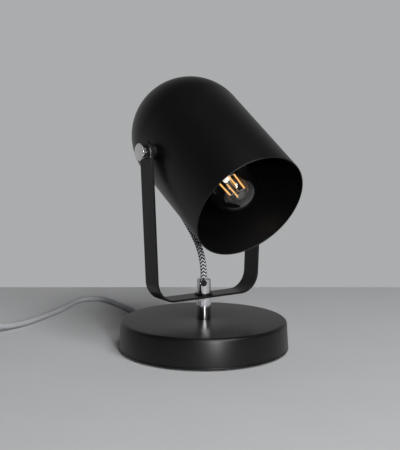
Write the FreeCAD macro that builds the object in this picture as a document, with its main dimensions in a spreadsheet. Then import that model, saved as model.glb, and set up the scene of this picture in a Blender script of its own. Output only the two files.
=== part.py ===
import FreeCAD, Part
import math
import os
import Sketcher

# Tabletop searchlight lamp, in millimetres. The origin is the centre of the underside of the
# base, +Z is up, +X runs along the tilt pivots and the mouth of the shade faces -Y and down.

DIMENSIONS = {
    # Base
    "base_radius": 80.0,
    "base_height": 27.6,
    "base_draft": 1.45,
    "base_edge_round": 3.2,
    "cover_wall": 1.2,
    "hem_gap": 0.9,
    "hem_round": 1.2,
    "hem_width": 2.6,
    "hem_height": 3.0,
    "pad_thickness": 2.2,
    "weight_clearance": 2.35,
    "weight_web": 5.0,
    "weight_rim": 10.0,
    # Stem
    "tube_radius": 5.0,
    "tube_bore": 3.5,
    "tube_clearance": 0.05,
    "nut_flats": 14.0,
    "nut_height": 4.0,
    "lock_washer_radius": 8.5,
    "lock_washer_height": 1.2,
    "tube_tail": 1.5,
    "spacer_radius": 7.0,
    "spacer_length": 21.4,
    "edge_break": 0.4,
    "strap_washer_radius": 8.4,
    "strap_washer_height": 1.5,
    "grip_radius": 6.5,
    "grip_length": 13.5,
    "grip_thread": 6.5,
    "grip_hole_drop": 3.4,
    "grip_screw_radius": 2.8,
    "grip_screw_recess": 0.5,
    "grip_screw_turn": 35.0,
    # Strap
    "strap_thickness": 2.0,
    "strap_width": 20.0,
    "strap_half_span": 54.8,
    "strap_splay": 2.4,
    "strap_bend": 20.0,
    "pivot_height": 184.8,
    # Tilt knobs
    "knob_head_radius": 7.9,
    "knob_head_height": 2.5,
    "knob_neck_radius": 6.5,
    "knob_neck_length": 4.0,
    "knob_notches": 14,
    "knob_notch_radius": 0.8,
    "screw_radius": 2.5,
    "screw_tail": 1.5,
    "pivot_clearance": 0.05,
    "pivot_nut_flats": 8.0,
    "pivot_nut_height": 4.0,
    "pivot_spacer_radius": 7.0,
    # Shade
    "head_tilt": 33.8,
    "mouth_radius": 52.7,
    "dome_radius": 55.5,
    "mouth_reach": 85.4,
    "dome_reach": 27.0,
    "shade_wall": 1.0,
    "shade_hole_radius": 4.6,
    # Lampholder and its bracket
    "bracket_thickness": 1.5,
    "bracket_width": 14.0,
    "bracket_reach": 36.0,
    "bracket_bend": 5.0,
    "bracket_gap": 0.15,
    "holder_radius": 19.5,
    "holder_wall": 2.0,
    "holder_split": -8.0,
    "holder_front": 27.0,
    "core_height": 6.0,
    "shell_radius": 13.9,
    "shell_wall": 0.4,
    "bulb_seat": 1.3,
    # Bulb
    "globe_radius": 22.5,
    "globe_depth": 31.6,
    "glass_wall": 0.8,
    "bulb_neck_radius": 12.9,
    "cap_radius": 13.1,
    "cap_length": 24.0,
    "bulb_neck_depth": 12.0,
    "bulb_neck_step": 0.7,
    "mount_flare": 11.2,
    "mount_waist": 2.3,
    "mount_tip_radius": 1.4,
    "mount_tip_rise": 11.0,
    "filament_radius": 0.95,
    "filament_length": 20.0,
    "filament_circle": 8.2,
    "filament_count": 4,
    "filament_set_back": 2.0,
    # Cord set
    "cord_radius": 3.0,
    "cord_clearance": 0.1,
    "cord_end_gap": 0.06,
    "bush_height": 9.5,
    "bush_tail": 24.0,
    "switch_length": 62.0,
    "switch_width": 26.0,
    "switch_height": 16.5,
    "switch_seam": 7.5,
    "switch_heading": 195.0,
    "switch_x": -188.0,
    "switch_y": 152.0,
    "switch_wall": 2.0,
    "switch_corner": 9.0,
    "rocker_reach": 10.9,
    "rocker_width": 11.4,
    "rocker_axle_height": 12.5,
    "rocker_axle_radius": 1.5,
    "rocker_rise": 5.2,
    "rocker_tilt": 9.0,
    "rocker_gap": 0.4,
    "coil_x": -222.0,
    "coil_y": 80.0,
    "coil_inner": 27.0,
    "coil_outer": 39.2,
    "coil_height": 12.2,
    "coil_stub": 24.0,
    "tie_width": 9.0,
    "tie_thickness": 0.9,
    "plug_x": -256.6,
    "plug_y": 28.0,
    "plug_heading": 272.0,
    "plug_tail": 20.0,
    "plug_length": 36.0,
    "plug_width": 35.3,
    "plug_thickness": 13.7,
    "pin_pitch": 18.6,
    "pin_radius": 2.0,
    "pin_length": 19.0,
}

doc = FreeCAD.newDocument("searchlight_lamp")
sheet = doc.addObject("Spreadsheet::Sheet", "Dims")


def number(value):
    return value.value if isinstance(value, Size) else float(value)


def formula(value):
    return value.text if isinstance(value, Size) else f"{float(value):.6f}"


class Size:
    """A length or angle that keeps its number and the spreadsheet formula it comes from."""

    def __init__(self, text, value):
        self.text = text
        self.value = float(value)

    def __add__(self, other):
        return Size(f"({self.text} + {formula(other)})", self.value + number(other))

    def __radd__(self, other):
        return Size(f"({formula(other)} + {self.text})", number(other) + self.value)

    def __sub__(self, other):
        return Size(f"({self.text} - {formula(other)})", self.value - number(other))

    def __rsub__(self, other):
        return Size(f"({formula(other)} - {self.text})", number(other) - self.value)

    def __mul__(self, other):
        return Size(f"({self.text} * {formula(other)})", self.value * number(other))

    def __rmul__(self, other):
        return self * other

    def __truediv__(self, other):
        return Size(f"({self.text} / {formula(other)})", self.value / number(other))

    def __neg__(self):
        return Size(f"(-1 * {self.text})", -self.value)


def sine(angle):
    return Size(f"sin({formula(angle)})", math.sin(math.radians(number(angle))))


def cosine(angle):
    return Size(f"cos({formula(angle)})", math.cos(math.radians(number(angle))))


def tangent(angle):
    return Size(f"tan({formula(angle)})", math.tan(math.radians(number(angle))))


def root(value):
    return Size(f"sqrt({formula(value)})", math.sqrt(number(value)))


class Dimensions:
    """The driving dimensions by name, each bound to its cell."""


d = Dimensions()
for row, (name, value) in enumerate(DIMENSIONS.items(), start=1):
    sheet.set(f"A{row}", name)
    sheet.set(f"B{row}", str(value))
    sheet.setAlias(f"B{row}", name)
    setattr(d, name, Size(f"Dims.{name}", value))
doc.recompute()

# Heights up the stem, and the places along the tilt axis, all follow from the sizes above.
weight_radius = d.base_radius - d.base_draft - d.cover_wall - d.weight_clearance
cover_ceiling = d.base_height - d.cover_wall
web_underside = cover_ceiling - d.weight_web
nut_top = web_underside - d.lock_washer_height
nut_bottom = nut_top - d.nut_height
tube_bottom = nut_bottom - d.tube_tail
strap_underside = d.base_height + d.spacer_length
strap_top = strap_underside + d.strap_thickness
grip_bottom = strap_top + d.strap_washer_height
grip_top = grip_bottom + d.grip_length
tube_top = grip_bottom + d.grip_thread
stem_hole = d.tube_radius + d.tube_clearance

arm_inner = d.strap_half_span + tangent(d.strap_splay) * (d.pivot_height - strap_underside)
arm_outer = arm_inner + d.strap_thickness / cosine(d.strap_splay)
pivot_hole = d.screw_radius + d.pivot_clearance
shade_taper = (d.dome_radius - d.mouth_radius) / (d.mouth_reach + d.dome_reach)
shade_at_pivot = d.dome_radius - shade_taper * d.dome_reach
globe_centre = d.mouth_reach - d.globe_depth
bush_bore = d.cord_radius + d.cord_clearance
apex = d.dome_reach + d.dome_radius

leaves = {}


def keep(label, thing):
    """Names a finished sub-part and lists it for writing."""
    thing.Label = label
    leaves[label] = thing
    return thing


def bind(thing, **sizes):
    """Sets the named properties of a feature, each bound to its formula."""
    for prop, value in sizes.items():
        setattr(thing, prop, number(value))
        if isinstance(value, Size):
            thing.setExpression(prop, value.text)


def place(thing, x=0.0, y=0.0, z=0.0, axis=(0, 0, 1), angle=0.0):
    """Puts a sub-part at a point, turned about an axis, with the sizes bound."""
    turn = FreeCAD.Rotation(FreeCAD.Vector(*axis), number(angle))
    thing.Placement = FreeCAD.Placement(FreeCAD.Vector(number(x), number(y), number(z)), turn)
    for prop, value in (("Base.x", x), ("Base.y", y), ("Base.z", z), ("Rotation.Angle", angle)):
        if isinstance(value, Size):
            thing.setExpression(f"Placement.{prop}", value.text)
    return thing


def in_head(thing):
    """Head pieces are drawn with +Z out of the mouth and the tilt axis at their origin."""
    return place(thing, z=d.pivot_height, axis=(1, 0, 0), angle=90 + d.head_tilt)


def new_body(label):
    return keep(label, doc.addObject("PartDesign::Body", label))


def origin_plane(body, role):
    return next(f for f in body.Origin.OriginFeatures if f.Role == role)


def arc_between(start, end, radius):
    """The short arc from start to end; a positive radius turns left on the way."""
    chord = end - start
    half = chord.Length / 2
    rise = math.sqrt(max(radius * radius - half * half, 0.0))
    side = FreeCAD.Vector(-chord.y, chord.x, 0).normalize() * (1 if radius > 0 else -1)
    centre = (start + end) * 0.5 + side * rise
    first, last = (start, end) if radius > 0 else (end, start)
    angles = [math.atan2(p.y - centre.y, p.x - centre.x) for p in (first, last)]
    circle = Part.Circle(centre, FreeCAD.Vector(0, 0, 1), abs(radius))
    return Part.ArcOfCircle(circle, angles[0], angles[1])


def add_outline(sketch, corners, arcs=()):
    """A closed outline through the corners, each held at its place by the sheet's formulas.

    arcs maps the number of a corner to the radius of the arc that leaves it.
    """
    arcs = dict(arcs)
    spots = [FreeCAD.Vector(number(x), number(y), 0) for x, y in corners]
    first = sketch.GeometryCount
    count = len(spots)
    starts, ends = [], []
    for i, spot in enumerate(spots):
        after = spots[(i + 1) % count]
        if i in arcs:
            radius = number(arcs[i])
            sketch.addGeometry(arc_between(spot, after, radius), False)
            starts.append(1 if radius > 0 else 2)
            ends.append(2 if radius > 0 else 1)
        else:
            sketch.addGeometry(Part.LineSegment(spot, after), False)
            starts.append(1)
            ends.append(2)
    for i in range(count):
        j = (i + 1) % count
        pair = (first + i, ends[i], first + j, starts[j])
        sketch.addConstraint(Sketcher.Constraint("Coincident", *pair))
    for i, (x, y) in enumerate(corners):
        for kind, value in (("DistanceX", x), ("DistanceY", y)):
            rule = Sketcher.Constraint(kind, -1, 1, first + i, starts[i], number(value))
            index = sketch.addConstraint(rule)
            if isinstance(value, Size):
                sketch.setExpression(f"Constraints[{index}]", value.text)
    for i, radius in arcs.items():
        size = radius if number(radius) > 0 else -radius
        index = sketch.addConstraint(Sketcher.Constraint("Radius", first + i, number(size)))
        if isinstance(size, Size):
            sketch.setExpression(f"Constraints[{index}]", size.text)


def add_circle(sketch, x, y, radius):
    """A circle with its centre and radius bound to the sheet."""
    centre = FreeCAD.Vector(number(x), number(y), 0)
    circle = Part.Circle(centre, FreeCAD.Vector(0, 0, 1), number(radius))
    index = sketch.addGeometry(circle, False)
    rules = (("DistanceX", x, (-1, 1, index, 3)), ("DistanceY", y, (-1, 1, index, 3)),
             ("Radius", radius, (index,)))
    for kind, value, where in rules:
        rule = sketch.addConstraint(Sketcher.Constraint(kind, *where, number(value)))
        if isinstance(value, Size):
            sketch.setExpression(f"Constraints[{rule}]", value.text)


def new_sketch(body, name, role, lift=0.0):
    """A sketch on one of the body's own origin planes, lifted along the plane's normal."""
    sketch = body.newObject("Sketcher::SketchObject", name)
    sketch.AttachmentSupport = [(origin_plane(body, role), "")]
    sketch.MapMode = "FlatFace"
    sketch.AttachmentOffset = FreeCAD.Placement(
        FreeCAD.Vector(0, 0, number(lift)), FreeCAD.Rotation())
    if isinstance(lift, Size):
        sketch.setExpression("AttachmentOffset.Base.z", lift.text)
    return sketch


def turn(body, name, corners, arcs=()):
    """Revolves an outline of (radius, height) corners about the body's Z axis."""
    sketch = new_sketch(body, f"{name}_profile", "XZ_Plane")
    add_outline(sketch, corners, arcs)
    feature = body.newObject("PartDesign::Revolution", name)
    feature.Profile = sketch
    feature.ReferenceAxis = (sketch, ["V_Axis"])
    feature.Angle = 360.0
    return feature


def turned(label, corners, arcs=()):
    """A sub-part made on a lathe or by spinning."""
    body = new_body(label)
    turn(body, f"{label}_turn", corners, arcs)
    return body


def pad(body, name, sketch, length, midplane=False, reverse=False):
    feature = body.newObject("PartDesign::Pad", name)
    feature.Profile = sketch
    bind(feature, Length=length)
    feature.Midplane = midplane
    feature.Reversed = reverse
    return feature


def pocket(body, name, sketch, length, midplane=False, reverse=False):
    """Cuts the sketch's shape out of the body, and stops if nothing was cut."""
    doc.recompute()
    before = body.Shape.Volume
    feature = body.newObject("PartDesign::Pocket", name)
    feature.Profile = sketch
    bind(feature, Length=length)
    feature.Midplane = midplane
    feature.Reversed = reverse
    doc.recompute()
    if not body.Shape.Volume < before - 1e-3:
        raise RuntimeError(f"{name} cuts nothing")
    return feature


def fillet_edges(body, name, names, radius):
    """Rounds the named edges of the body as it stands."""
    base = body.Tip
    fillet = body.newObject("PartDesign::Fillet", name)
    fillet.Base = (base, names)
    fillet.Radius = radius
    return fillet


def box(name, x, y, z, wide, deep, high):
    """A rectangular block with its low corner at x, y, z."""
    block = doc.addObject("Part::Box", name)
    bind(block, Length=wide, Width=deep, Height=high)
    return place(block, x, y, z)


def cylinder(name, radius, height, x=0.0, y=0.0, z=0.0, axis=(0, 0, 1), angle=0.0):
    rod = doc.addObject("Part::Cylinder", name)
    bind(rod, Radius=radius, Height=height)
    return place(rod, x, y, z, axis, angle)


def cut(label, base, tool):
    result = doc.addObject("Part::Cut", label)
    result.Base = base
    result.Tool = tool
    return result


def group(label, pieces):
    """Like pieces of one kind, kept as separate solids in one sub-part."""
    result = doc.addObject("Part::Compound", label)
    result.Links = pieces
    return result


def tube_path(points, arcs=None):
    """Straight runs joined by tangent arcs, each as large as its two runs allow."""
    spots = [FreeCAD.Vector(*(number(c) for c in p)) for p in points]
    edges, radii = [], []
    here = spots[0]
    for i in range(1, len(spots) - 1):
        before = spots[i - 1] - spots[i]
        after = spots[i + 1] - spots[i]
        shorter = min(before.Length, after.Length)
        half_turn = (math.pi - before.getAngle(after)) / 2
        reach = 0.45 * shorter
        if arcs and i in arcs:
            reach = number(arcs[i]) * math.tan(half_turn)
        radius = reach / math.tan(half_turn)
        radii.append(radius)
        enter = spots[i] + before.normalize() * reach
        leave = spots[i] + after.normalize() * reach
        bisector = (before + after).normalize()
        centre = spots[i] + bisector * (radius / math.cos(half_turn))
        middle = centre - bisector * radius
        edges.append(Part.LineSegment(here, enter).toShape())
        edges.append(Part.Arc(enter, middle, leave).toShape())
        here = leave
    edges.append(Part.LineSegment(here, spots[-1]).toShape())
    return Part.Wire(edges), radii


def shortened(points):
    """The route with each end held back a little from the piece that it meets."""
    spots = [FreeCAD.Vector(*(number(c) for c in p)) for p in points]
    gap = number(d.cord_end_gap)
    for end, neighbour in ((0, 1), (-1, -2)):
        spots[end] = spots[end] + (spots[neighbour] - spots[end]).normalize() * gap
    return [tuple(spot) for spot in spots]


def cord(label, points, radius, arcs=None):
    """A round cord along its route; its volume is compared with section times length."""
    path, radii = tube_path(shortened(points), arcs)
    start = path.Vertexes[0].Point
    ahead = path.Edges[0].tangentAt(path.Edges[0].FirstParameter)
    ring = Part.Wire([Part.makeCircle(number(radius), start, ahead)])
    solid = path.makePipeShell([ring], True, True)
    ideal = math.pi * number(radius) ** 2 * path.Length
    if abs(solid.Volume / ideal - 1) > 0.01:
        raise RuntimeError(f"{label} is not a plain round cord")
    lowest = solid.BoundBox.ZMin
    shortest = min(radii) if radii else 0.0
    print(f"{label}: length {path.Length:.1f}, smallest radius {shortest:.1f}, lowest {lowest:.2f}")
    print("   radii", " ".join(f"{r:.0f}" for r in radii))
    feature = doc.addObject("Part::Feature", label)
    feature.Shape = solid
    return keep(label, feature)


# Base: a pressed steel cover over a cast-iron weight, on a foam pad

def make_base_cover():
    top_radius = d.base_radius - d.base_draft
    flat_radius = top_radius - d.base_edge_round
    shoulder = d.base_height - d.base_edge_round
    inner_round = d.base_edge_round - d.cover_wall
    hem_top = d.hem_gap + d.hem_height
    body = turned("base_cover", [
        (stem_hole, cover_ceiling),
        (stem_hole, d.base_height),
        (flat_radius, d.base_height),
        (top_radius, shoulder),
        (d.base_radius, d.hem_gap + d.hem_round),
        (d.base_radius - d.hem_round, d.hem_gap),
        (d.base_radius - d.hem_width, d.hem_gap),
        (d.base_radius - d.hem_width, hem_top),
        (d.base_radius - d.cover_wall, hem_top),
        (top_radius - d.cover_wall, shoulder),
        (flat_radius, cover_ceiling),
    ], {2: -d.base_edge_round, 4: -d.hem_round, 9: inner_round})
    sketch = new_sketch(body, "cord_hole", "XZ_Plane")
    add_circle(sketch, 0, d.bush_height, bush_neck)
    pocket(body, "cord_hole_cut", sketch, d.base_radius + 5, reverse=False)
    return body


def make_base_weight():
    rim_inner = weight_radius - d.weight_rim
    body = turned("base_weight", [
        (stem_hole, web_underside),
        (stem_hole, cover_ceiling),
        (weight_radius, cover_ceiling),
        (weight_radius, d.pad_thickness),
        (rim_inner, d.pad_thickness),
        (rim_inner - 1.5, web_underside),
    ])
    sketch = new_sketch(body, "cord_notch", "XZ_Plane")
    half = bush_flange + 0.5
    add_outline(sketch, [
        (-half, d.pad_thickness - 1), (half, d.pad_thickness - 1),
        (half, d.bush_height + half), (-half, d.bush_height + half)])
    pocket(body, "cord_notch_cut", sketch, d.base_radius, reverse=False)
    return body


def make_foot_pad():
    return turned("foot_pad", [
        (0, 0), (weight_radius - 0.8, 0), (weight_radius, 0.8),
        (weight_radius, d.pad_thickness), (0, d.pad_thickness)])


def make_cord_bush():
    """Flange and snap ridge each side of the cover's wall, then a tapered tail outside."""
    wall_inside = d.base_radius - d.base_draft - d.cover_wall
    ridge = wall_inside - 0.3
    seat = d.base_radius + 0.05
    flange_end = seat + 1.8
    tail_end = flange_end + d.bush_tail
    neck = bush_neck - 0.15
    body = turned("cord_bush", [
        (bush_bore, ridge - 5),
        (bush_flange - 0.8, ridge - 5),
        (bush_flange - 0.3, ridge - 1.5),
        (bush_flange - 0.3, ridge),
        (neck, ridge),
        (neck, seat),
        (bush_flange, seat),
        (bush_flange, flange_end - 0.5),
        (bush_flange - 1.2, flange_end),
        (bush_bore + 0.9, tail_end),
        (bush_bore, tail_end),
    ])
    return place(body, z=d.bush_height, axis=(1, 0, 0), angle=-90)


bush_neck = d.cord_radius + 1.6
bush_flange = d.cord_radius + 3.2
bush_tip = d.base_radius + 0.05 + 1.8 + d.bush_tail

make_base_cover()
make_base_weight()
make_foot_pad()
make_cord_bush()


# Stem: a hollow threaded tube clamps the weight, cover and spacer, and carries the strap

def hex_nut(name, flats, height, bore):
    prism = doc.addObject("Part::Prism", f"{name}_hex")
    prism.Polygon = 6
    bind(prism, Circumradius=flats / root(3), Height=height)
    hole = cylinder(f"{name}_hole", bore, height + 2, z=-1.0)
    return cut(name, prism, hole)


def ring(label, inner, outer, low, high):
    return turned(label, [(inner, low), (outer, low), (outer, high), (inner, high)])


def make_stem():
    ring("threaded_tube", d.tube_bore, d.tube_radius, tube_bottom, tube_top)
    nut = keep("base_nut", hex_nut("base_nut", d.nut_flats, d.nut_height, stem_hole))
    place(nut, z=nut_bottom)
    ring("lock_washer", stem_hole, d.lock_washer_radius, nut_top, web_underside)
    turned("spacer_tube", [
        (stem_hole, d.base_height),
        (d.spacer_radius - d.edge_break, d.base_height),
        (d.spacer_radius, d.base_height + d.edge_break),
        (d.spacer_radius, strap_underside - d.edge_break),
        (d.spacer_radius - d.edge_break, strap_underside),
        (stem_hole, strap_underside),
    ])
    ring("strap_washer", stem_hole, d.strap_washer_radius, strap_top, grip_bottom)


def make_cord_grip():
    """The sleeve is bored for the tube below and for the cord above."""
    body = turned("cord_grip", [
        (stem_hole, grip_bottom),
        (d.grip_radius, grip_bottom),
        (d.grip_radius, grip_top - d.edge_break),
        (d.grip_radius - d.edge_break, grip_top),
        (bush_bore + 0.2 + d.edge_break, grip_top),
        (bush_bore + 0.2, grip_top - d.edge_break),
        (bush_bore + 0.2, tube_top + 0.2),
        (stem_hole, tube_top + 0.2),
    ])
    place(body, angle=-d.grip_screw_turn)
    sketch = new_sketch(body, "screw_hole", "XZ_Plane")
    add_circle(sketch, 0, grip_top - d.grip_hole_drop, d.grip_screw_radius + 0.1)
    pocket(body, "screw_hole_cut", sketch, d.grip_radius + 2, reverse=True)
    return body


def make_grip_screw():
    """A slotted plastic screw that bears on the cord."""
    body = new_body("grip_screw")
    reach = d.grip_radius - d.grip_screw_recess
    sketch = new_sketch(body, "screw_section", "XZ_Plane", d.cord_radius + 0.05)
    add_circle(sketch, 0, grip_top - d.grip_hole_drop, d.grip_screw_radius)
    pad(body, "screw_rod", sketch, reach - d.cord_radius - 0.05)
    slot = new_sketch(body, "screw_slot", "XZ_Plane", reach + 0.1)
    middle = grip_top - d.grip_hole_drop
    add_outline(slot, [
        (-d.grip_screw_radius - 0.5, middle - 0.4), (d.grip_screw_radius + 0.5, middle - 0.4),
        (d.grip_screw_radius + 0.5, middle + 0.4), (-d.grip_screw_radius - 0.5, middle + 0.4)])
    pocket(body, "screw_slot_cut", slot, 1.1)
    return place(body, angle=-d.grip_screw_turn)


make_stem()
make_cord_grip()
make_grip_screw()


# Strap: flat bar bent to a U, its arms splayed a little, with round ends

def make_yoke_strap():
    body = new_body("yoke_strap")
    sketch = new_sketch(body, "strap_profile", "XZ_Plane")
    lean = d.strap_splay
    outer_foot = d.strap_half_span + d.strap_thickness / cosine(lean)
    tangent_run = d.strap_bend * tangent((90 - lean) / 2)
    bend_x = outer_foot - tangent_run
    bend_z = strap_underside + d.strap_bend
    inner_bend = d.strap_bend - d.strap_thickness
    top = d.pivot_height + d.strap_width / 2 + 1
    outer_top = outer_foot + tangent(lean) * (top - strap_underside)
    inner_top = d.strap_half_span + tangent(lean) * (top - strap_underside)
    outer_knee = (bend_x + d.strap_bend * cosine(lean), bend_z - d.strap_bend * sine(lean))
    inner_knee = (bend_x + inner_bend * cosine(lean), bend_z - inner_bend * sine(lean))
    right = [
        (bend_x, strap_underside), outer_knee, (outer_top, top), (inner_top, top),
        inner_knee, (bend_x, strap_top)]
    left = [(-x, z) for x, z in reversed(right)]
    add_outline(sketch, right + left, {0: d.strap_bend, 4: -inner_bend, 6: -inner_bend,
                                       10: d.strap_bend})
    pad(body, "strap_bar", sketch, d.strap_width, midplane=True)
    ends = new_sketch(body, "arm_ends", "YZ_Plane")
    half = d.strap_width / 2
    add_outline(ends, [
        (half, d.pivot_height), (0, d.pivot_height + half), (-half, d.pivot_height),
        (-half - 1, d.pivot_height), (-half - 1, top + 1), (half + 1, top + 1),
        (half + 1, d.pivot_height)], {0: half, 1: half})
    pocket(body, "arm_ends_cut", ends, arm_outer * 2 + 20, midplane=True)
    holes = new_sketch(body, "pivot_holes", "YZ_Plane")
    add_circle(holes, 0, d.pivot_height, pivot_hole)
    pocket(body, "pivot_holes_cut", holes, arm_outer * 2 + 20, midplane=True)
    stem = new_sketch(body, "stem_hole", "XY_Plane")
    add_circle(stem, 0, 0, stem_hole)
    pocket(body, "stem_hole_cut", stem, strap_top * 2 + 4, midplane=True)
    return body


make_yoke_strap()


# Head: a spun shade carries the lampholder on an inner bracket that the tilt screws clamp

def make_shade():
    inner_mouth = d.mouth_radius - d.shade_wall
    inner_dome = d.dome_radius - d.shade_wall
    hole = d.shade_hole_radius
    outer_apex = -d.dome_reach - root(d.dome_radius * d.dome_radius - hole * hole)
    inner_apex = -d.dome_reach - root(inner_dome * inner_dome - hole * hole)
    body = turned("shade", [
        (inner_mouth, d.mouth_reach),
        (inner_dome, -d.dome_reach),
        (hole, inner_apex),
        (hole, outer_apex),
        (d.dome_radius, -d.dome_reach),
        (d.mouth_radius, d.mouth_reach),
    ], {1: -inner_dome, 3: d.dome_radius})
    sketch = new_sketch(body, "pivot_holes_shade", "YZ_Plane")
    add_circle(sketch, 0, 0, pivot_hole)
    pocket(body, "pivot_holes_shade_cut", sketch, d.dome_radius * 2 + 10, midplane=True)
    return in_head(body)


def make_pivot_spacers():
    """Nylon spacers, hollowed on the shade's side so that they sit on its round wall."""
    pieces = []
    arm_face = d.strap_half_span + tangent(d.strap_splay) * (
        d.pivot_height - d.pivot_spacer_radius - strap_underside) - 0.05
    seat = shade_at_pivot + shade_taper * d.pivot_spacer_radius
    for name, side in (("right", 1), ("left", -1)):
        start = shade_at_pivot - 2
        rod = cylinder(f"spacer_rod_{name}", d.pivot_spacer_radius, arm_face - start,
                       x=side * start, axis=(0, 1, 0), angle=90 * side)
        hole = cylinder(f"spacer_hole_{name}", pivot_hole, arm_face + 5,
                        axis=(0, 1, 0), angle=90 * side)
        saddle = cylinder(f"spacer_saddle_{name}", seat, d.pivot_spacer_radius * 4,
                          z=-d.pivot_spacer_radius * 2)
        bored = cut(f"spacer_bored_{name}", rod, hole)
        pieces.append(cut(f"spacer_{name}", bored, saddle))
    return in_head(keep("pivot_spacers", group("pivot_spacers", pieces)))


def make_holder_bracket():
    """A bridge of flat bar: legs along the wall at the pivots, plate across behind them."""
    body = new_body("holder_bracket")
    sketch = new_sketch(body, "bracket_profile", "XZ_Plane")
    inside = shade_at_pivot - d.shade_wall - shade_taper * d.bracket_width / 2
    half = d.bracket_width / 2
    outer = root(inside * inside - half * half) - d.bracket_gap
    inner = outer - d.bracket_thickness
    back = -d.bracket_reach
    plate = back + d.bracket_thickness
    bend = d.bracket_bend
    tight = bend - d.bracket_thickness
    right = [
        (outer - bend, back), (outer, back + bend), (outer, half), (inner, half),
        (inner, back + bend), (outer - bend, plate)]
    left = [(-x, z) for x, z in reversed(right)]
    add_outline(sketch, right + left, {0: bend, 4: -tight, 6: -tight, 10: bend})
    pad(body, "bracket_bar", sketch, d.bracket_width, midplane=True)
    pivots = new_sketch(body, "bracket_pivots", "YZ_Plane")
    add_circle(pivots, 0, 0, pivot_hole)
    pocket(body, "bracket_pivots_cut", pivots, d.dome_radius * 2, midplane=True)
    hole = new_sketch(body, "bracket_hole", "XY_Plane")
    add_circle(hole, 0, 0, stem_hole)
    pocket(body, "bracket_hole_cut", hole, d.bracket_reach * 2 + 10, midplane=True)
    in_head(body)
    return inner


def make_pivot_nuts(bracket_face):
    pieces = []
    for name, side in (("right", 1), ("left", -1)):
        nut = hex_nut(f"pivot_nut_{name}", d.pivot_nut_flats, d.pivot_nut_height, pivot_hole)
        start = bracket_face - d.pivot_nut_height
        pieces.append(place(nut, x=side * start, axis=(0, 1, 0), angle=90 * side))
    return in_head(keep("pivot_nuts", group("pivot_nuts", pieces)))


def make_tilt_knob(label, side, nut_face):
    """A thumb screw: notched head, plain neck and a screw that reaches through to the nut."""
    neck = arm_outer + tangent(d.strap_splay) * d.knob_neck_radius + 0.05
    head = neck + d.knob_neck_length
    face = head + d.knob_head_height
    tip = nut_face - d.screw_tail
    body = turned(label, [
        (0, tip), (d.screw_radius, tip), (d.screw_radius, neck), (d.knob_neck_radius, neck),
        (d.knob_neck_radius, head), (d.knob_head_radius - 0.3, head),
        (d.knob_head_radius, head + 0.3), (d.knob_head_radius, face - 0.3),
        (d.knob_head_radius - 0.3, face), (0, face)])
    notch = new_sketch(body, f"{label}_notch", "XY_Plane", face + 1)
    add_circle(notch, d.knob_head_radius + 0.2, 0, d.knob_notch_radius)
    cutter = pocket(body, f"{label}_notch_cut", notch, d.knob_head_height + 2)
    pattern = body.newObject("PartDesign::PolarPattern", f"{label}_notches")
    pattern.Originals = [cutter]
    pattern.Axis = (notch, ["N_Axis"])
    pattern.Angle = 360.0
    pattern.Occurrences = int(number(d.knob_notches))
    body.Tip = pattern
    return place(body, z=d.pivot_height, axis=(0, 1, 0), angle=90 * side)


def make_shade_bush():
    """A snap bush at the apex; its short tail leads the cord out."""
    outside = -apex - 0.05
    inside = -apex + d.shade_wall + 0.6
    neck = d.shade_hole_radius - 0.1
    body = turned("shade_bush", [
        (bush_bore, inside + 4),
        (neck - 0.3, inside + 4),
        (neck + 0.9, inside + 1),
        (neck + 0.9, inside),
        (neck, inside),
        (neck, outside),
        (bush_flange, outside),
        (bush_flange, outside - 1.6),
        (bush_flange - 0.8, outside - 2.4),
        (bush_bore + 1.0, outside - 6),
        (bush_bore, outside - 6),
    ])
    return in_head(body)


make_shade()
make_pivot_spacers()
bracket_leg = make_holder_bracket()
make_pivot_nuts(bracket_leg)
make_tilt_knob("tilt_knob_right", 1, bracket_leg - d.pivot_nut_height)
make_tilt_knob("tilt_knob_left", -1, bracket_leg - d.pivot_nut_height)
make_shade_bush()


# Lampholder: a two-part moulded case round a ceramic core with the screw shell and contact

def make_lampholder():
    seat = -d.bracket_reach + d.bracket_thickness
    split = d.holder_split
    inner = d.holder_radius - d.holder_wall
    in_head(turned("holder_cap", [
        (stem_hole, seat), (11, seat), (14.5, seat + 2.5), (d.holder_radius, seat + 13),
        (d.holder_radius, split), (inner, split), (inner, seat + 14), (12.5, seat + 5),
        (9, seat + d.holder_wall), (stem_hole, seat + d.holder_wall)]))
    in_head(turned("holder_body", [
        (inner, split), (d.holder_radius, split), (d.holder_radius, split + 3),
        (d.holder_radius - 1, split + 4), (d.holder_radius - 1, d.holder_front - 1),
        (d.holder_radius - 2, d.holder_front), (d.shell_radius + 0.8, d.holder_front),
        (d.shell_radius + 0.8, split + 6), (inner, split + 5)]))
    core_top = d.bulb_seat - 0.6
    in_head(turned("holder_core", [
        (0, core_top - d.core_height), (d.shell_radius - 0.6, core_top - d.core_height),
        (d.shell_radius + 0.6, split + 6.2), (d.shell_radius + 0.6, core_top), (0, core_top)]))
    in_head(ring("holder_shell", d.shell_radius - d.shell_wall, d.shell_radius,
                 core_top, d.holder_front - 6))
    in_head(ring("holder_contact", 0.6, 3.2, core_top, d.bulb_seat))
    tube = in_head(ring("holder_tube", d.tube_bore, d.tube_radius, seat - 8, seat + 7))
    nut = hex_nut("holder_nut", d.nut_flats, d.nut_height - 1, stem_hole)
    place(nut, z=-d.bracket_reach - d.nut_height + 1)
    in_head(keep("holder_nut", group("holder_nut", [nut])))
    return tube


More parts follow.
